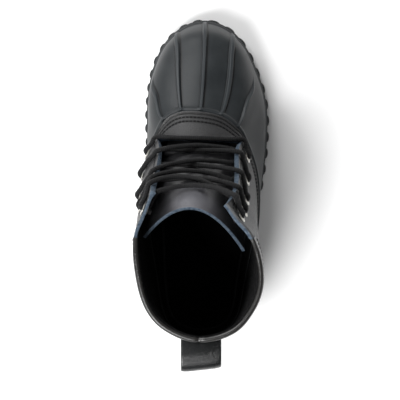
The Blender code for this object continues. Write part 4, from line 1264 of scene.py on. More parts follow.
def leather_material(
    name, dark, light, rough_low, rough_high, grain_depth, shine=0.45, coat=0.2, paler=1.8,
):
    """Grain leather between two tones, with patches of wear. Its points' mask value is above 0 where it is
    painted pale, for rubbed edges and as a painted highlight, and below 0 where a groove is darkened as
    painted shade."""
    made, tree, shader = new_material(name, Specular_IOR_Level=shine, Coat_Roughness=0.35)
    grain = add_node(tree, "ShaderNodeGroup", node_tree=LEATHER_GRAIN)
    pale = tuple(min(1.0, value * paler) for value in light[:3]) + (1.0,)
    wear_highlight_shade = add_node(tree, "ShaderNodeAttribute", attribute_name="wear_highlight_shade").outputs["Fac"]
    colour = mix_colour(tree, spread(tree, grain.outputs["Tone"], 0.35, 0.65, 0.0, 1.0), dark, light)
    colour = mix_colour(tree, spread(tree, grain.outputs["Wear"], 0.0, 1.0, 0.0, LEATHER_WEAR), colour, pale)
    # Above 0 the mask paints the leather pale, partly rubbing and partly a painted highlight; below 0 it
    # darkens grooves as painted shade.
    colour = mix_colour(tree, spread(tree, wear_highlight_shade, 0.0, 1.0, 0.0, LEATHER_RUB_HIGHLIGHT), colour, pale)
    colour = mix_colour(tree, spread(tree, wear_highlight_shade, -1.0, 0.0, LEATHER_GROOVE_SHADE, 0.0), colour, linear(4, 4, 4))
    link_shader(
        tree, shader,
        Base_Color=colour,
        Roughness=spread(tree, grain.outputs["Tone"], 0.3, 0.7, rough_low, rough_high),
        Coat_Weight=spread(tree, grain.outputs["Height"], 0.4, 1.3, 0.0, coat),
        Normal=bump(tree, grain.outputs["Height"], grain_depth),
    )
    return made


def raw_edge_material(name, dark, light):
    """Cut leather: blue-grey fibres in thin broken layers."""
    made, tree, shader = new_material(name, Specular_IOR_Level=0.25)
    where = add_node(tree, "ShaderNodeTexCoord").outputs["Object"]
    layers = add_node(tree, "ShaderNodeTexNoise", {
        "Vector": where, "Scale": 420.0, "Detail": 6.0, "Roughness": 0.7,
    })
    fuzz = add_node(tree, "ShaderNodeTexNoise", {"Vector": where, "Scale": 2200.0, "Detail": 3.0})
    height = add_node(tree, "ShaderNodeMath", {
        0: fuzz.outputs["Fac"], 1: 0.4, 2: layers.outputs["Fac"],
    }, operation="MULTIPLY_ADD")
    tone = spread(tree, layers.outputs["Fac"], 0.36, 0.64, 0.0, 1.0)
    link_shader(
        tree, shader,
        Base_Color=mix_colour(tree, tone, dark, light),
        Roughness=spread(tree, fuzz.outputs["Fac"], 0.3, 0.7, 0.85, 1.0),
        Normal=bump(tree, height.outputs[0], 0.0004),
    )
    return made


shaft_leather = leather_material(
    "shaft_leather", linear(36, 36, 37), linear(48, 48, 49), 0.4, 0.56, 0.00012,
)
raw_leather = raw_edge_material("raw_leather", linear(44, 55, 68), linear(86, 97, 108))
# The leg's lining is near-black: partly the cloth's own colour and partly painted shade inside the boot; its
# pale flecks are the cloth's own.
leg_lining = cloth_material("leg_lining", linear(2, 2, 2), linear(80, 80, 84), 0.45)

shaft_around = shaft_columns()
shaft_control = upper_control(shaft_around)
shaft_total = wall_length(shaft_control)
shaft_up = shaft_lengths(shaft_around, shaft_total)
shaft_base = walk(shaft_control, shaft_up)
shaft_cells = np.ones((len(shaft_base) - 1, len(shaft_around)), bool)
shaft_closing = np.roll(in_throat(shaft_around), -1) | in_throat(shaft_around)
shaft_cells[SHAFT_LOW_ROWS - 1 :, shaft_closing] = False
shaft_normals = grid_normals(shaft_base, shaft_cells)

above_corner = (np.arange(len(shaft_base)) >= SHAFT_LOW_ROWS - 1)[:, None]
front = np.where(above_corner, behind_front(shaft_base, shaft_around), np.inf)
bound = (shaft_around >= KEY[BINDING_FROM]) | (shaft_around <= KEY[BINDING_TO])
below_top = np.where(bound, np.inf, shaft_total - shaft_up)
below_top = np.where(above_corner | in_throat(shaft_around), below_top, np.inf)
from_raw = np.minimum(front, below_top)
inner_half = shaft_around > 0.5
top_doubled = np.where(inner_half, DOUBLED_TOP["medial"], DOUBLED_TOP["lateral"])
doubled = np.maximum(eased(1 - front / DOUBLED_REACH), top_doubled * eased(1 - below_top / DOUBLED_REACH))

crease_least, crease_most = CREASE_OFF_TOP
shaft_dents = creased(shaft_base, SHAFT_CREASES) * eased(from_raw / CREASE_OFF_RAW)
shaft_dents = shaft_dents * eased(shaft_up / CREASE_OFF_RIM)
shaft_dents = shaft_dents * eased((shaft_total - shaft_up - crease_least) / (crease_most - crease_least))
shaft_grooves = sum(groove(shaft_up - up, half_width, depth) for up, half_width, depth in RIM_GROOVES)
flap = ~in_throat(shaft_around)
shaft_grooves = shaft_grooves + groove(from_raw - EDGE_SEAM, *EDGE_GROOVE) * flap * above_corner
back_start, back_end = LAST.at(np.array([0.0, BACK_STEP]))[:, 0:2]
back_length = np.linalg.norm(back_end - back_start) / BACK_STEP
round_back = np.minimum(shaft_around, 1 - shaft_around) * back_length
shaft_grooves = shaft_grooves + groove(round_back, *BACK_GROOVE)
shaft_outer = shaft_base + (DOUBLED_OUT * doubled - shaft_dents - shaft_grooves)[..., None] * shaft_normals
shaft_inner = shaft_base - (LEATHER + DOUBLED_IN * doubled + shaft_dents)[..., None] * shaft_normals

cell_middles = (shaft_base[:-1] + shaft_base[1:]) / 2
cell_middles = (cell_middles + np.roll(cell_middles, -1, axis=1)) / 2
for side in ("lateral", "medial"):
    for point, _, _ in eyelet_places(side):
        shaft_cells &= np.linalg.norm(cell_middles - point, axis=2) > EYELET_CUT
shaft, shaft_used = make_wall(
    "leather_shaft", shaft_outer, shaft_inner, shaft_cells,
    {"outer": shaft_leather, "inner": leg_lining, "edge": raw_leather}, RAW_EDGE,
)
grain_slot, raw_slot = (shaft.data.materials.find(name) for name in ("shaft_leather", "raw_leather"))
raw_faces = [polygon for polygon in shaft.data.polygons if polygon.material_index == raw_slot]
for number, polygon in enumerate(raw_faces):
    strip = number * (len(RAW_EDGE) + 1) // len(raw_faces)
    if strip < ROLLED_STRIPS and polygon.center.x > 0 and polygon.normal.z > ROLLED_UP:
        polygon.material_index = grain_slot
# Grooves are darkened as painted shade, and the leather near a raw edge is painted pale, partly as rubbing
# and partly as a painted highlight.
shaft_groove_shade = np.minimum(shaft_grooves / GROOVE_SHADE_DEPTH, 1.0)
shaft_rub_highlight_shade = np.concatenate([eased(1 - from_raw / RUB_HIGHLIGHT_REACH) - shaft_groove_shade, np.zeros(from_raw.shape)])
add_mask(shaft, "wear_highlight_shade", spread_mask(shaft_rub_highlight_shade, shaft_used))
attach(shaft, "root")
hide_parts("leather_shaft")

thread, thread_tree, thread_shader = new_material("dark_thread", Specular_IOR_Level=0.3)
thread_where = add_node(thread_tree, "ShaderNodeTexCoord").outputs["Object"]
thread_twist = add_node(thread_tree, "ShaderNodeTexNoise", {
    "Vector": thread_where, "Scale": 1500.0, "Detail": 2.0,
}).outputs["Fac"]
link_shader(
    thread_tree, thread_shader,
    Base_Color=mix_colour(thread_tree, thread_twist, linear(4, 4, 5), linear(20, 20, 22)),
    Roughness=spread(thread_tree, thread_twist, 0.3, 0.7, 0.6, 0.85),
    Normal=bump(thread_tree, thread_twist, 0.0002),
)

seam_around = np.linspace(0, 1, RIM_SEAM_POINTS)
seam_lines = [on_upper(seam_around, np.full(RIM_SEAM_POINTS, up)) for up, _, _ in RIM_GROOVES[1:]]
seam_stops = {"lateral": KEY[BINDING_TO] + TOP_SEAM_CLEAR, "medial": KEY[BINDING_FROM] - TOP_SEAM_CLEAR}
back_offsets = {"lateral": BACK_SEAM / back_length, "medial": -BACK_SEAM / back_length}
for side in ("lateral", "medial"):
    edge = np.array([KEY["edge_" + side]])
    high = wall_length(leg_wall(edge))[0] - EDGE_SEAM
    lengths = np.linspace(CORNER_RISE + EDGE_SEAM_START, high, EDGE_SEAM_POINTS)
    places = np.array([inset_from_edge(side, length, EDGE_SEAM) for length in lengths])
    seam_lines.append(on_upper(places, lengths))
    places = np.linspace(places[-1], seam_stops[side], TOP_SEAM_POINTS)
    seam_lines.append(on_upper(places, wall_length(leg_wall(places)) - EDGE_SEAM))
    places = np.full(BACK_SEAM_POINTS, back_offsets[side])
    seam_lines.append(on_upper(places, np.linspace(*BACK_SEAM_SPAN, BACK_SEAM_POINTS)))
shaft_stitches = sew("shaft_stitches", seam_lines, thread)
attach(shaft_stitches, "root")


# Collar binding: a strip of smooth black leather folded over the top edge of the leg, from the inner
# side's flap round the back to the outer side's, and sewn through near its lower edge. Inside the leg
# the lining covers it.

# The section's outer face from the outside's lower edge over the top to the inside: out from the
# leather's face, up from the wall's top edge. Then its face against the wall at the same places.
BINDING_SECTION = (
    (0.5, -14.0, 0.45, -13.9), (0.9, -14.2, 0.45, -13.8), (1.3, -13.8, 0.45, -13.4),
    (1.45, -12.6, 0.45, -12.4), (1.35, -11.2, 0.45, -11.2), (1.5, -9.0, 0.45, -9.0),
    (1.6, -5.0, 0.45, -5.0), (1.55, -1.6, 0.45, -1.6), (1.35, 0.2, 0.45, -0.4), (0.8, 1.5, 0.45, 0.2),
    (0.0, 2.3, 0.2, 0.45), (-1.2, 2.65, -1.2, 0.45), (-2.4, 2.3, -2.6, 0.45), (-3.2, 1.5, -2.85, 0.2),
    (-3.8, 0.2, -2.85, -0.4), (-4.0, -1.6, -2.85, -1.6), (-4.05, -5.0, -2.85, -5.0),
    (-3.95, -9.0, -2.85, -9.0), (-3.6, -11.4, -2.85, -11.0), (-3.1, -12.1, -2.85, -11.8),
)
# From this row of the section on the strip is covered by the lining.
BINDING_LINED = 13
# Towards its two ends the strip is skived thin, down to this share, over this length.
BINDING_SKIVE = (0.25, 16.0)
# The way out of the wall is read this far below its top edge.
BINDING_LEVEL = 2.0
# The seam through the strip: below the top edge, out from the wall, and the columns left free at its ends.
BINDING_SEAM = 11.6
BINDING_SEAM_OUT = 1.4
BINDING_SEAM_ENDS = slice(2, -2)
# The notch where the strip is joined over the back seam: half width round the boot, depth, the share of
# the thickness lost for each millimetre of depth, and the most that is lost.
BACK_NOTCH = (2.2, 1.5)
NOTCH_RATE = 0.5
NOTCH_MOST = 0.8

binding_leather = leather_material(
    "binding_leather", linear(24, 23, 22), linear(34, 33, 32), 0.26, 0.36, 0.00005, shine=0.5, coat=0.25,
)
binding_around = np.concatenate([
    np.arange(KEY[BINDING_FROM], 1.0, SHAFT_SPACING), np.arange(1.0, 1 + KEY[BINDING_TO], SHAFT_SPACING),
])
binding_control = leg_wall(binding_around)
binding_total = wall_length(binding_control)
_, binding_out = on_upper(binding_around, binding_total - BINDING_LEVEL)
binding_up = binding_control[3] - binding_control[2]
binding_up = unit(binding_up - binding_out * np.sum(binding_up * binding_out, axis=1, keepdims=True))
binding_notch = groove(np.abs(binding_around - 1.0) * back_length, *BACK_NOTCH)


def binding_line(out, height):
    """One line of the strip's section, all the way round."""
    on_wall = walk(binding_control, (binding_total + min(height, 0.0))[None])[0]
    return on_wall + binding_out * out + binding_up * max(height, 0.0)


binding_outer = np.stack([binding_line(row[0], row[1]) for row in BINDING_SECTION])
binding_inner = np.stack([binding_line(row[2], row[3]) for row in BINDING_SECTION])
binding_run = run_along(binding_control[3])
binding_from_end = np.minimum(binding_run, binding_run[-1] - binding_run)
skive_share, skive_reach = BINDING_SKIVE
binding_thick = skive_share + (1 - skive_share) * eased(binding_from_end / skive_reach)
binding_thick = binding_thick * (1 - np.minimum(binding_notch * NOTCH_RATE, NOTCH_MOST))
binding_outer = binding_inner + (binding_outer - binding_inner) * binding_thick[None, :, None]
binding_cells = np.ones((len(BINDING_SECTION) - 1, len(binding_around) - 1), bool)
binding, _ = make_wall(
    "collar_binding", binding_outer, binding_inner, binding_cells,
    {"outer": binding_leather, "inner": leg_lining, "edge": raw_leather}, RAW_EDGE,
)
lining_slot = binding.data.materials.find("leg_lining")
for number in range(BINDING_LINED * binding_cells.shape[1], binding_cells.size):
    binding.data.polygons[number].material_index = lining_slot
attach(binding, "root")
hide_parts("collar_binding")

binding_seam = walk(binding_control, (binding_total - BINDING_SEAM)[None])[0]
binding_seam = binding_seam + BINDING_SEAM_OUT * binding_out
binding_line_sewn = binding_seam[BINDING_SEAM_ENDS], binding_out[BINDING_SEAM_ENDS]
binding_stitches = sew("binding_stitches", [binding_line_sewn], thread)
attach(binding_stitches, "root")


# Tongue: one wide sheet of grey-black leather under the laces, fixed beneath the vamp strip. It
# bulges between the flaps and its top edge is cut raw.
TONGUE_COLUMNS = ("middle_x", "crest_y", "crest_z", "half_width", "depth", "skew")
TONGUE_ROWS = (
    (-1.0, 199.0, 82.6, 19.0, 5.0, 0.0),
    (-1.0, 189.0, 85.2, 27.0, 10.5, 0.0),
    (-1.0, 178.0, 91.5, 32.0, 14.0, 0.0),
    (-2.0, 165.5, 115.0, 35.0, 19.0, 1.5),
    (-3.0, 151.0, 144.0, 38.0, 26.0, 3.0),
    (-4.0, 138.5, 167.0, 41.0, 33.0, 5.0),
    (-5.0, 123.0, 184.5, 44.0, 42.0, 8.0),
)
TONGUE_THICK = 2.9
# The dome under the top edge is painted paler, a painted highlight where it faces the light: where that
# starts up the tongue, over what share, and how much of it is lost how far from the middle.
DOME_FROM = 0.7
DOME_REACH = 0.25
DOME_FALL = 0.95
DOME_WIDE = 0.75
TONGUE_UP = 96
TONGUE_ACROSS = 72
TONGUE_STEP = 0.01
TONGUE = smooth_table(np.linspace(0, 1, len(TONGUE_ROWS)), TONGUE_ROWS)
# Creases across the tongue: from and to in x, y, z, then width and depth.
TONGUE_CREASES = (
    ((-24.0, 170.0, 100.0), (20.0, 172.0, 98.0), 4.0, 0.6),
    ((-22.0, 158.0, 122.0), (22.0, 160.0, 120.0), 5.0, 0.5),
)


def tongue_point(across, up):
    """Points on the tongue's outer face and the directions out of it: across from -1 on the inner
    side of the foot to 1, up from 0 at its base to 1."""
    across, up = np.broadcast_arrays(np.asarray(across, float), np.asarray(up, float))
    row = dict(zip(TONGUE_COLUMNS, np.moveaxis(TONGUE(up), -1, 0)))
    step = TONGUE(np.minimum(up + TONGUE_STEP, 1.0)) - TONGUE(np.maximum(up - TONGUE_STEP, 0.0))
    way = unit(np.stack([np.zeros(up.shape), step[..., 1], step[..., 2]], axis=-1))
    out = np.stack([np.zeros(up.shape), way[..., 2], -way[..., 1]], axis=-1)
    middle = row["middle_x"] + row["half_width"] * across
    point = np.stack([middle, row["crest_y"], row["crest_z"]], axis=-1)
    drop = row["depth"] * across**2 + row["skew"] * across
    return point - drop[..., None] * out, out


# The tongue's pale tone, many times its light one, is the colour of the painted highlight on its dome.
tongue_leather = leather_material(
    "tongue_leather", linear(30, 30, 31), linear(42, 42, 44), 0.3, 0.42, 0.00006,
    shine=0.5, coat=0.25, paler=12.0,
)
tongue_across, tongue_up = np.meshgrid(np.linspace(1, -1, TONGUE_ACROSS), np.linspace(0, 1, TONGUE_UP))
tongue_outer, _ = tongue_point(tongue_across, tongue_up)
tongue_cells = np.ones((TONGUE_UP - 1, TONGUE_ACROSS - 1), bool)
tongue_normals = grid_normals(tongue_outer, tongue_cells)
tongue_dents = creased(tongue_outer, TONGUE_CREASES)
tongue_inner = tongue_outer - (TONGUE_THICK + tongue_dents)[..., None] * tongue_normals
tongue_outer = tongue_outer - tongue_dents[..., None] * tongue_normals
tongue, tongue_used = make_wall(
    "tongue", tongue_outer, tongue_inner, tongue_cells,
    {"outer": tongue_leather, "inner": leg_lining, "edge": raw_leather}, RAW_EDGE,
)
# The painted highlight on the dome, fading towards the sides.
tongue_highlight = eased((tongue_up - DOME_FROM) / DOME_REACH)
tongue_highlight = tongue_highlight * (1 - DOME_FALL * eased(np.abs(tongue_across) / DOME_WIDE))
tongue_highlight_mask = np.concatenate([tongue_highlight, np.zeros(tongue_up.shape)])
add_mask(tongue, "wear_highlight_shade", spread_mask(tongue_highlight_mask, tongue_used))
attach(tongue, "root")
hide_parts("tongue")


# Pull loop: a strap of black leather at the back of the collar, bent into a loop. Both its ends are
# sewn flat to the leg, the lower one in a square of stitches.

# The strap's middle line, out from the back of the leg and up from the floor.
LOOP_ROWS = (
    (1.7, 146.0), (1.7, 157.0), (5.5, 163.0), (14.0, 166.0), (22.4, 170.5), (24.8, 176.5), (22.4, 182.0),
    (14.0, 184.0), (6.0, 183.2), (0.6, 181.6),
)
LOOP_THICK = 2.4
LOOP_FROM_X = -15.5
LOOP_TO_X = 17.3
LOOP_SKEW = 1.8
LOOP_FREE = 10.0
LOOP_SEWN_ROWS = 6
LOOP_POINTS = 60
LOOP_STRIPS = 24
# Where the strap turns back its edges are pulled in: how far, how sharply across it, and between which
# distances out from the leg that comes in.
LOOP_CORNER = 0.8
LOOP_CORNER_POWER = 6
LOOP_CORNER_SPAN = (14.0, 22.0)
LOOP_EDGE = ((0.15, 0.5), (0.5, 0.75), (0.85, 0.5))
LOOP_EDGE_WORN = 0.3
# The square of stitches: inside the strap's edges, and its lower and upper side above the floor.
LOOP_BOX = (3.0, 147.5, 156.0)
LOOP_BOX_POINTS = 30
CURVE_FINE = 4
BACK_STEPS = 21


def curve_through(points, count):
    """Points evenly spaced along a smooth curve through the given ones."""
    points = np.array(points, float)
    steps = np.linalg.norm(np.diff(points, axis=0), axis=1) ** 0.5
    places = np.concatenate([[0.0], np.cumsum(steps)])
    slopes = np.gradient(points, places, axis=0)
    fine = np.linspace(0, places[-1], CURVE_FINE * count)
    row = np.clip(np.searchsorted(places, fine, side="right") - 1, 0, len(places) - 2)
    width = (places[row + 1] - places[row])[:, None]
    share = (fine - places[row])[:, None] / width
    rise = points[row + 1] - points[row]
    line = smooth_step(points[row], rise, slopes[row] * width, slopes[row + 1] * width, share)
    run = run_along(line)
    even = np.linspace(0, run[-1], count)
    return np.column_stack([np.interp(even, run, line[:, axis]) for axis in range(points.shape[1])])


leg_back_around = np.mod(np.linspace(KEY["heel_medial"] - 1, KEY["heel_lateral"], BACK_STEPS), 1.0)
leg_back_points, _ = fine_walk(leg_wall(leg_back_around))


def leg_back(x, z):
    """The y of the leg's outer face at the back."""
    walls = np.moveaxis(leg_back_points, 1, 0)
    level_x = [np.interp(z, wall[:, 2], wall[:, 0]) for wall in walls]
    level_y = [np.interp(z, wall[:, 2], wall[:, 1]) for wall in walls]
    return np.interp(x, level_x, level_y)


def loop_grid(middle, offset):
    """One face of the strap, across from the inner side's edge to the outer side's."""
    ways = unit(np.gradient(middle, axis=0))
    line = middle + offset * np.stack([ways[:, 1], -ways[:, 0]], axis=1)
    across = np.linspace(LOOP_FROM_X, LOOP_TO_X, LOOP_STRIPS)
    side = np.linspace(-1, 1, LOOP_STRIPS)
    corner_from, corner_to = LOOP_CORNER_SPAN
    grid = np.empty((len(line), LOOP_STRIPS, 3))
    for row, (out, z) in enumerate(line):
        free = np.clip(middle[row, 0] / LOOP_FREE, 0.0, 1.0) * eased((len(line) - 1 - row) / LOOP_SEWN_ROWS)
        centre = leg_back(0.0, z)
        fold = eased((middle[row, 0] - corner_from) / (corner_to - corner_from)) * LOOP_CORNER
        for column, x in enumerate(across):
            back = (1 - free) * leg_back(x, z) + free * centre
            pulled = fold * abs(side[column]) ** LOOP_CORNER_POWER
            grid[row, column] = x, back - out + pulled + free * LOOP_SKEW * side[column], z
    return grid


loop_leather = leather_material(
    "loop_leather", linear(12, 14, 15), linear(19, 21, 22), 0.24, 0.34, 0.00006, shine=0.4,
)
loop_middle = curve_through(LOOP_ROWS, LOOP_POINTS)
loop_cells = np.ones((LOOP_POINTS - 1, LOOP_STRIPS - 1), bool)
loop, loop_used = make_wall(
    "pull_loop", loop_grid(loop_middle, LOOP_THICK / 2), loop_grid(loop_middle, -LOOP_THICK / 2), loop_cells,
    {"outer": loop_leather, "inner": loop_leather, "edge": loop_leather}, LOOP_EDGE,
)
loop_worn = LOOP_EDGE_WORN * spread_mask(np.zeros(2 * LOOP_POINTS * LOOP_STRIPS), loop_used)
add_mask(loop, "wear_highlight_shade", loop_worn)
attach(loop, "root")
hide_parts("pull_loop")

box_inset, box_low, box_high = LOOP_BOX
box_left, box_right = LOOP_FROM_X + box_inset, LOOP_TO_X - box_inset
box_corners = ((box_left, box_low), (box_right, box_low), (box_right, box_high), (box_left, box_high))
box_lines = []
for start, end in zip(box_corners, box_corners[1:] + box_corners[:1]):
    line = np.linspace(start, end, LOOP_BOX_POINTS)
    points = np.array([(x, leg_back(x, z) - LOOP_ROWS[0][0] - LOOP_THICK / 2, z) for x, z in line])
    box_lines.append((points, np.tile((0.0, -1.0, 0.0), (LOOP_BOX_POINTS, 1))))
loop_stitches = sew("loop_stitches", box_lines, thread)
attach(loop_stitches, "root")


# Eyelets: pressed rings of bright nickelled brass, five in each flap. Each is pushed through a hole
# and clenched over the lining inside.
EYELET_SIDES = 28
# The ring's section all the way round: radius, height above the leather.
EYELET_SECTION = (
    (2.2, -2.9), (2.2, 0.6), (2.3, 1.0), (2.6, 1.25), (3.1, 1.35), (3.7, 1.3), (4.4, 1.1), (4.85, 0.85),
    (4.95, 0.6), (4.7, 0.45), (3.3, 0.4), (3.0, 0.2), (3.0, -2.5), (3.4, -2.75), (4.2, -2.9), (4.4, -3.2),
    (4.0, -3.5), (3.0, -3.6), (2.4, -3.4),
)


def eyelet_shape():
    """One ring, turned round its own Z."""
    angles = np.arange(EYELET_SIDES) * 2 * math.pi / EYELET_SIDES
    rings = [(radius * np.cos(angles), radius * np.sin(angles), np.full(EYELET_SIDES, height))
             for radius, height in EYELET_SECTION]
    points = np.concatenate([np.stack(ring, axis=1) for ring in rings])
    faces = []
    for row in range(len(rings)):
        low, high = row * EYELET_SIDES, (row + 1) % len(rings) * EYELET_SIDES
        for column in range(EYELET_SIDES):
            after = (column + 1) % EYELET_SIDES
            faces.append([high + column, high + after, low + after, low + column])
    mesh = bpy.data.meshes.new("eyelet_shape")
    mesh.from_pydata(points.tolist(), [], faces)
    return add_object("eyelet_shape", mesh)


eyelet_metal, eyelet_tree, eyelet_shader = new_material("eyelet_metal", Metallic=1.0)
eyelet_where = add_node(eyelet_tree, "ShaderNodeTexCoord").outputs["Object"]
eyelet_tarnish = add_node(eyelet_tree, "ShaderNodeTexNoise", {
    "Vector": eyelet_where, "Scale": 700.0, "Detail": 5.0, "Roughness": 0.65,
}).outputs["Fac"]
eyelet_tone = spread(eyelet_tree, eyelet_tarnish, 0.4, 0.7, 0.0, 1.0)
link_shader(
    eyelet_tree, eyelet_shader,
    Base_Color=mix_colour(eyelet_tree, eyelet_tone, linear(214, 212, 206), linear(140, 136, 128)),
    Roughness=spread(eyelet_tree, eyelet_tarnish, 0.3, 0.7, 0.22, 0.42),
    Normal=bump(eyelet_tree, eyelet_tarnish, 0.00004),
)
eyelet_middles, eyelet_outs, eyelet_ways = zip(*eyelet_places("lateral"), *eyelet_places("medial"))
eyelets = set_on_places(
    "eyelets", eyelet_shape(), eyelet_middles, eyelet_ways, eyelet_outs,
    np.ones((len(eyelet_middles), 3)), (1.0, 1.0, 1.0), eyelet_metal,
)
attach(eyelets, "root")
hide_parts(*[f"eyelet_{side}_{number}" for side in ("lateral", "medial") for number in range(1, 6)])


# Lace: one round braided cord. A straight bar lies on the vamp strip, and each half then goes over a
# flap's edge, in through an eyelet, out under the flap and across the tongue to the other side. Its
# two ends stop inside the top eyelets.
LACE_RADIUS = 2.1
LACE_CLEAR = 0.15
LACE_ON_TONGUE = 0.35
# How far up each front edge the lace to each eyelet goes over it.
LACE_OVER_EDGE = {
    "lateral": (13.0, 49.0, 88.0, 116.0, 131.0),
    "medial": (13.0, 46.0, 84.0, 100.0, 114.0),
}
LACE_START_RISE = 8.0
LACE_START_INSET = 5.5
LACE_EYELET_CLEAR = 7.5
LACE_OUTSIDE_SHARES = (0.33, 0.66, 1.0)
# The lace in an eyelet: ahead of the ring's middle, and out from the leather's face.
LACE_IN_EYELET = ((2.2, 3.2), (0.0, 0.4), (0.0, -2.0), (1.6, -LEATHER - 3.0))
LACE_VAMP_SHARES = (0.75, 0.5, 0.25)
LACE_VAMP_AHEAD = 0.4
# A flap's edge as the lace goes round it: its middle's depth behind the cut, the lace's angle there, and
# how far up the edge is felt.
LACE_EDGE_DEPTH = 1.2
LACE_EDGE_ANGLE = math.radians(60)
LACE_EDGE_TOP = 136.0
LACE_EDGE_STEPS = 60
# The lace's lift over the tongue half way across, first of the lower and then of the upper strand,
# and how far each pair of strands hangs down the throat there.
LACE_LIFTS = (2.5, 7.0)
LACE_SAGS = (0.0, 3.0, 10.0, 20.0)
LACE_HANG = np.array((0.0, 0.48, -0.88))
# Stretches of the lace further apart along it than the first keep the second between their middles.
LACE_APART = (14.0, 4.4)
LACE_COARSE = 1.8
LACE_ROUNDS = 160
LACE_DRAW = 0.5
LACE_EASE = (0.05, 0.1, 0.15, 0.2, 0.2, 0.2, 0.15, 0.1, 0.05)
LACE_STEP = 0.7
LACE_SIDES = 16
LACE_STRANDS = 4
LACE_BRAID_PITCH = 7.0
LACE_BRAID_HEIGHT = 0.14
LACE_TAIL = 7.0
OTHER_SIDE = {"lateral": "medial", "medial": "lateral"}
LACE_OFF_EDGE = math.hypot(LACE_EDGE_DEPTH, (LEATHER + DOUBLED_IN + DOUBLED_OUT) / 2)
LACE_OFF_EDGE += LACE_RADIUS + LACE_CLEAR
# The tongue's crest in fine steps, and the directions out of it.
TONGUE_LEVELS = 101
tongue_ups = np.linspace(0, 1, TONGUE_LEVELS)
tongue_crest, tongue_outs = tongue_point(np.zeros(TONGUE_LEVELS), tongue_ups)


def edge_middle(side, length):
    """A point in the middle of a front edge's doubled leather, with the directions ahead of it and out."""
    edge, normal, along, _ = leg_frame(KEY["edge_" + side], length)
    ahead = along if side == "lateral" else -along
    return edge - LACE_EDGE_DEPTH * ahead - (LEATHER + DOUBLED_IN - DOUBLED_OUT) / 2 * normal, ahead, normal


def lace_end(side, length, eyelet_length, eyelet_inset):
    """Points of a lace from over a front edge to the outside of an eyelet."""
    middle, ahead, normal = edge_middle(side, length)
    way = math.cos(LACE_EDGE_ANGLE) * ahead + math.sin(LACE_EDGE_ANGLE) * normal
    points = [middle + LACE_OFF_EDGE * way]
    for share in LACE_OUTSIDE_SHARES:
        inset = share * (eyelet_inset - LACE_EYELET_CLEAR)
        up = length + inset / eyelet_inset * (eyelet_length - length)
        point, out, _, _ = leg_frame(inset_from_edge(side, up, inset), up)
        doubled = DOUBLED_OUT * eased(1 - inset / DOUBLED_REACH)
        points.append(point + out * (LACE_RADIUS + LACE_CLEAR + doubled))
    return points


def lace_start(side, length):
    """Points of a lace from under a flap to just inside its front edge."""
    below = LEATHER + DOUBLED_IN + LACE_RADIUS + LACE_CLEAR
    points = []
    for inset, rise in ((LACE_START_INSET, 0.0), (0.0, LACE_START_RISE)):
        point, normal, _, _ = leg_frame(inset_from_edge(side, length + rise, inset), length + rise)
        points.append(point - below * normal)
    return points


def lace_through(side, level):
    """Points of a lace that goes in through an eyelet."""
    length, inset = EYELET_ROWS[level]
    point, out, along, _ = leg_frame(inset_from_edge(side, length, inset), length)
    ahead = along if side == "lateral" else -along
    return [point + forwards * ahead + outwards * out for forwards, outwards in LACE_IN_EYELET]


def over_tongue(start, end, sag, lift):
    """A point half way across the throat that hangs down it, at least a lift above the tongue."""
    way = (start + end) / 2 + sag * LACE_HANG
    up = np.interp(way[2], tongue_crest[:, 2], tongue_ups)
    row = dict(zip(TONGUE_COLUMNS, TONGUE(up)))
    face, out = tongue_point((way[0] - row["middle_x"]) / row["half_width"], up)
    return face + max(np.dot(way - face, out), lift) * out


def over_vamp():
    """Points of a lace that lies along the lower end of the throat, on the vamp strip."""
    edges = KEY["edge_lateral"], KEY["edge_medial"]
    around = edges[0] + np.array(LACE_VAMP_SHARES) * (edges[1] - edges[0])
    clear = LACE_RADIUS + LACE_CLEAR + DOUBLED_OUT
    return list(vamp_wall(around)[3] + (0.0, clear * LACE_VAMP_AHEAD, clear))


def held(points, firmness=1.0):
    """Rows of a lace's points with how firmly it is held there."""
    return [np.append(point, firmness) for point in points]


def lace_halves():
    """Rows of the lace's two halves from the bar up to its ends, the half that starts on the inner
    side first. At each crossing the half that comes from the outer side passes over."""
    halves = {}
    for side in ("medial", "lateral"):
        halves[side] = held(lace_end(side, LACE_OVER_EDGE[side][0], *EYELET_ROWS[0]))
    for level in range(1, len(EYELET_ROWS)):
        below, above = EYELET_ROWS[level - 1], EYELET_ROWS[level]
        crossed = {}
        for side, lift in zip(("medial", "lateral"), LACE_LIFTS):
            other = OTHER_SIDE[side]
            start = lace_through(side, level - 1) + lace_start(side, below[0])
            end = lace_end(other, LACE_OVER_EDGE[other][level], *above)
            middle = over_tongue(start[-1], end[0], LACE_SAGS[level - 1], lift)
            crossed[other] = halves[side] + held(start) + held([middle], 0.0) + held(end)
        halves = crossed
    for side in halves:
        point, out, _, _ = leg_frame(inset_from_edge(side, *EYELET_ROWS[-1]), EYELET_ROWS[-1][0])
        tail = point - LACE_TAIL * out
        halves[side] = halves[side] + held(lace_through(side, len(EYELET_ROWS) - 1)[:3] + [tail])
    return halves


def off_tongue(points):
    """How far points over the tongue move out to lie on it and not in it."""
    away = np.linalg.norm(points[:, None, 1:] - tongue_crest[None, :, 1:], axis=2)
    level = np.argmin(away, axis=1)
    out = tongue_outs[level]
    row = dict(zip(TONGUE_COLUMNS, TONGUE(tongue_ups[level]).T))
    across = (points[:, 0] - row["middle_x"]) / row["half_width"]
    height = np.sum((points - tongue_crest[level]) * out, axis=1)
    height = height + row["depth"] * across**2 + row["skew"] * across
    lack = LACE_RADIUS + LACE_ON_TONGUE - height
    over = (np.abs(across) < 1) & (level > 0) & (level < TONGUE_LEVELS - 1) & (lack < 2 * LACE_RADIUS)
    return np.where(over, np.maximum(lack, 0.0), 0.0)[:, None] * out


def off_edges(points, edges):
    """How far points near the middles of the flaps' edges move to lie round the leather there."""
    gaps = points[:, None] - edges[None]
    far = np.linalg.norm(gaps, axis=2)
    number = np.arange(len(points))
    nearest = np.argmin(far, axis=1)
    lack = np.maximum(LACE_OFF_EDGE - far[number, nearest], 0.0)
    return (lack / far[number, nearest])[:, None] * gaps[number, nearest]


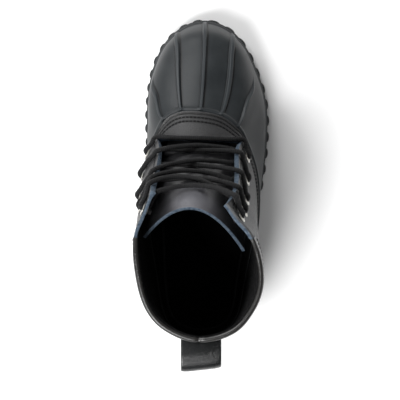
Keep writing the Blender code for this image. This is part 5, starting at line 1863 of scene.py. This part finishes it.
def drawn_tight(rows, edges):
    """A lace's path in even steps drawn straight where it isn't held, with its stretches pushed off
    each other, off the tongue and off the flaps' edges."""
    run, apart = LACE_APART
    path = rows[:, :3]
    loose = 1 - np.clip(rows[:, 3:], 0.0, 1.0)
    number = np.arange(len(path))
    other = np.abs(number[:, None] - number[None]) * LACE_COARSE > run
    for _ in range(LACE_ROUNDS):
        between = (np.roll(path, 1, axis=0) + np.roll(path, -1, axis=0)) / 2
        path = path + LACE_DRAW * loose * (between - path)
        gaps = path[:, None] - path[None]
        far = np.linalg.norm(gaps, axis=2) + NEAR
        lack = np.where(other, np.maximum(apart - far, 0.0), 0.0)
        nearest = np.argmax(lack, axis=1)
        push = gaps[number, nearest] / far[number, nearest, None] * lack[number, nearest, None] / 2
        path = path + np.column_stack([np.convolve(push[:, axis], LACE_EASE, "same") for axis in range(3)])
        path = path + off_tongue(path) / 2
        path = path + off_edges(path, edges) / 2
    return path


def braided_tube(path):
    """Points and faces of a round cord along a path, with its braid's strands raised a little, and
    each face corner's place round and along it."""
    run = run_along(path)
    ways = unit(np.gradient(path, axis=0))
    across = unit(np.cross(ways[0], (0.0, 0.0, 1.0)))
    angles = np.arange(LACE_SIDES) * 2 * math.pi / LACE_SIDES
    rings = []
    for point, way, length in zip(path, ways, run):
        across = unit(across - way * across.dot(way))
        up = np.cross(way, across)
        turn = 2 * math.pi * length / LACE_BRAID_PITCH
        strand = np.sin(LACE_STRANDS * angles + turn) * np.sin(LACE_STRANDS * angles - turn)
        radius = (LACE_RADIUS + LACE_BRAID_HEIGHT * strand)[:, None]
        rings.append(point + radius * (np.outer(np.cos(angles), across) + np.outer(np.sin(angles), up)))
    corners = []
    for start, end in zip(run[:-1], run[1:]):
        for side in range(LACE_SIDES):
            left, right = side / LACE_SIDES, (side + 1) / LACE_SIDES
            corners += [(left, start), (right, start), (right, end), (left, end)]
    corners += [(0.0, 0.0)] * LACE_SIDES + [(0.0, run[-1])] * LACE_SIDES
    return np.concatenate(rings), capped_rings(len(path), LACE_SIDES), corners


lace_cord, lace_tree, lace_shader = new_material("lace_cord", Specular_IOR_Level=0.35)
lace_map = add_node(lace_tree, "ShaderNodeUVMap", uv_map="braid").outputs["UV"]
lace_split = add_node(lace_tree, "ShaderNodeSeparateXYZ", {"Vector": lace_map})


def lace_math(operation, first, second=0.0):
    """A sum worked out over the lace's surface."""
    return add_node(lace_tree, "ShaderNodeMath", {0: first, 1: second}, operation=operation).outputs[0]


lace_turns = lace_math("MULTIPLY", lace_split.outputs["X"], 4 * math.pi * LACE_STRANDS)
lace_runs = lace_math("MULTIPLY", lace_split.outputs["Y"], 4 * math.pi / LACE_BRAID_PITCH)
lace_waves = [lace_math("SINE", lace_math(way, lace_turns, lace_runs)) for way in ("ADD", "SUBTRACT")]
lace_braid = lace_math("MULTIPLY", *lace_waves)
# The braid's raised threads are painted paler than the black cord, a painted highlight.
lace_strand_highlight = spread(lace_tree, lace_braid, -1.0, 1.0, 0.0, 1.0)
link_shader(
    lace_tree, lace_shader,
    Base_Color=mix_colour(lace_tree, lace_strand_highlight, linear(4, 4, 5), linear(27, 27, 29)),
    Roughness=spread(lace_tree, lace_braid, -1.0, 1.0, 0.85, 0.6),
    Normal=bump(lace_tree, lace_braid, 0.00025),
)

lace_ends = lace_halves()
lace_rows = np.array(lace_ends["medial"][::-1] + held(over_vamp()) + lace_ends["lateral"])
lace_run = run_along(lace_rows)[-1]
lace_levels = np.linspace(CORNER_RISE, LACE_EDGE_TOP, LACE_EDGE_STEPS)
lace_edges = [edge_middle(side, level)[0] for side in OTHER_SIDE for level in lace_levels]
lace_coarse = drawn_tight(curve_through(lace_rows, round(lace_run / LACE_COARSE)), np.array(lace_edges))
lace_path = curve_through(lace_coarse, round(lace_run / LACE_STEP))
lace_shape, lace_faces, lace_corners = braided_tube(lace_path)
lace = make_piece("lace", lace_shape, lace_faces, lace_cord)
lace_layer = lace.data.uv_layers.new(name="braid")
lace_layer.data.foreach_set("uv", np.array(lace_corners, float).ravel())
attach(lace, "root")
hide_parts("lace_bar", *[f"lace_cross_{number}" for number in range(2, 6)])


# Floor, light and camera: a plain white floor under a soft white sky that is stronger on the boot's
# inner side, two large lamps on that side, one behind the heel and one ahead of the toe, and the camera
# straight down from above.
FLOOR_HALF = 2.5
FLOOR_TONES = ((0.93, 0.93, 0.93, 1.0), (0.95, 0.95, 0.95, 1.0))
# The sky's strength on the boot's inner side and on its outer side.
SKY_STRENGTHS = (0.5, 0.2)
# Each lamp: where it stands and its width, in metres, and its power in watts.
LAMPS = {
    "key_lamp": ((-0.8, -1.03, 1.95), 0.95, 60.0),
    "front_lamp": ((-1.0, 1.65, 1.5), 1.6, 44.0),
}
CAMERA_PLACE = (0.0, 129.4, 1580.0)
# The width of the floor that the camera sees, in millimetres, and how far it sees, in metres.
CAMERA_VIEW = 382.8
CAMERA_REACH = 50.0

floor_points = np.array([(-1, -1, 0), (1, -1, 0), (1, 1, 0), (-1, 1, 0)]) * FLOOR_HALF / MM - SHIFT
floor_white, floor_tree, floor_shader = new_material("floor_white", Roughness=0.9, Specular_IOR_Level=0.1)
floor_where = add_node(floor_tree, "ShaderNodeTexCoord").outputs["Object"]
floor_cloud = add_node(floor_tree, "ShaderNodeTexNoise", {"Vector": floor_where, "Scale": 3.0})
link_shader(
    floor_tree, floor_shader, Base_Color=mix_colour(floor_tree, floor_cloud.outputs["Fac"], *FLOOR_TONES),
)
floor = make_piece("floor", floor_points, [[0, 1, 2, 3]], floor_white)

scene = bpy.context.scene
scene.view_settings.view_transform = "Standard"
scene.world = bpy.data.worlds.new("soft_sky")
scene.world.use_nodes = True
sky_tree = scene.world.node_tree
sky = sky_tree.nodes["Background"]
sky.inputs["Color"].default_value = (1.0, 1.0, 1.0, 1.0)
sky_way = add_node(sky_tree, "ShaderNodeTexCoord").outputs["Generated"]
sky_across = add_node(sky_tree, "ShaderNodeSeparateXYZ", {"Vector": sky_way}).outputs["X"]
link_shader(sky_tree, sky, Strength=spread(sky_tree, sky_across, -1.0, 1.0, *SKY_STRENGTHS))

for name, (place, width, power) in LAMPS.items():
    lamp_data = bpy.data.lights.new(name, "AREA")
    lamp_data.shape = "DISK"
    lamp_data.size = width
    lamp_data.energy = power
    lamp = add_object(name, lamp_data)
    lamp.location = place
    lamp.rotation_euler = (-Vector(place)).to_track_quat("-Z", "Y").to_euler()

camera_data = bpy.data.cameras.new("camera")
camera_data.angle = 2 * math.atan(CAMERA_VIEW / 2 / CAMERA_PLACE[2])
camera_data.clip_end = CAMERA_REACH
camera = add_object("camera", camera_data)
camera.location = (np.array(CAMERA_PLACE) + SHIFT) * MM
scene.camera = camera
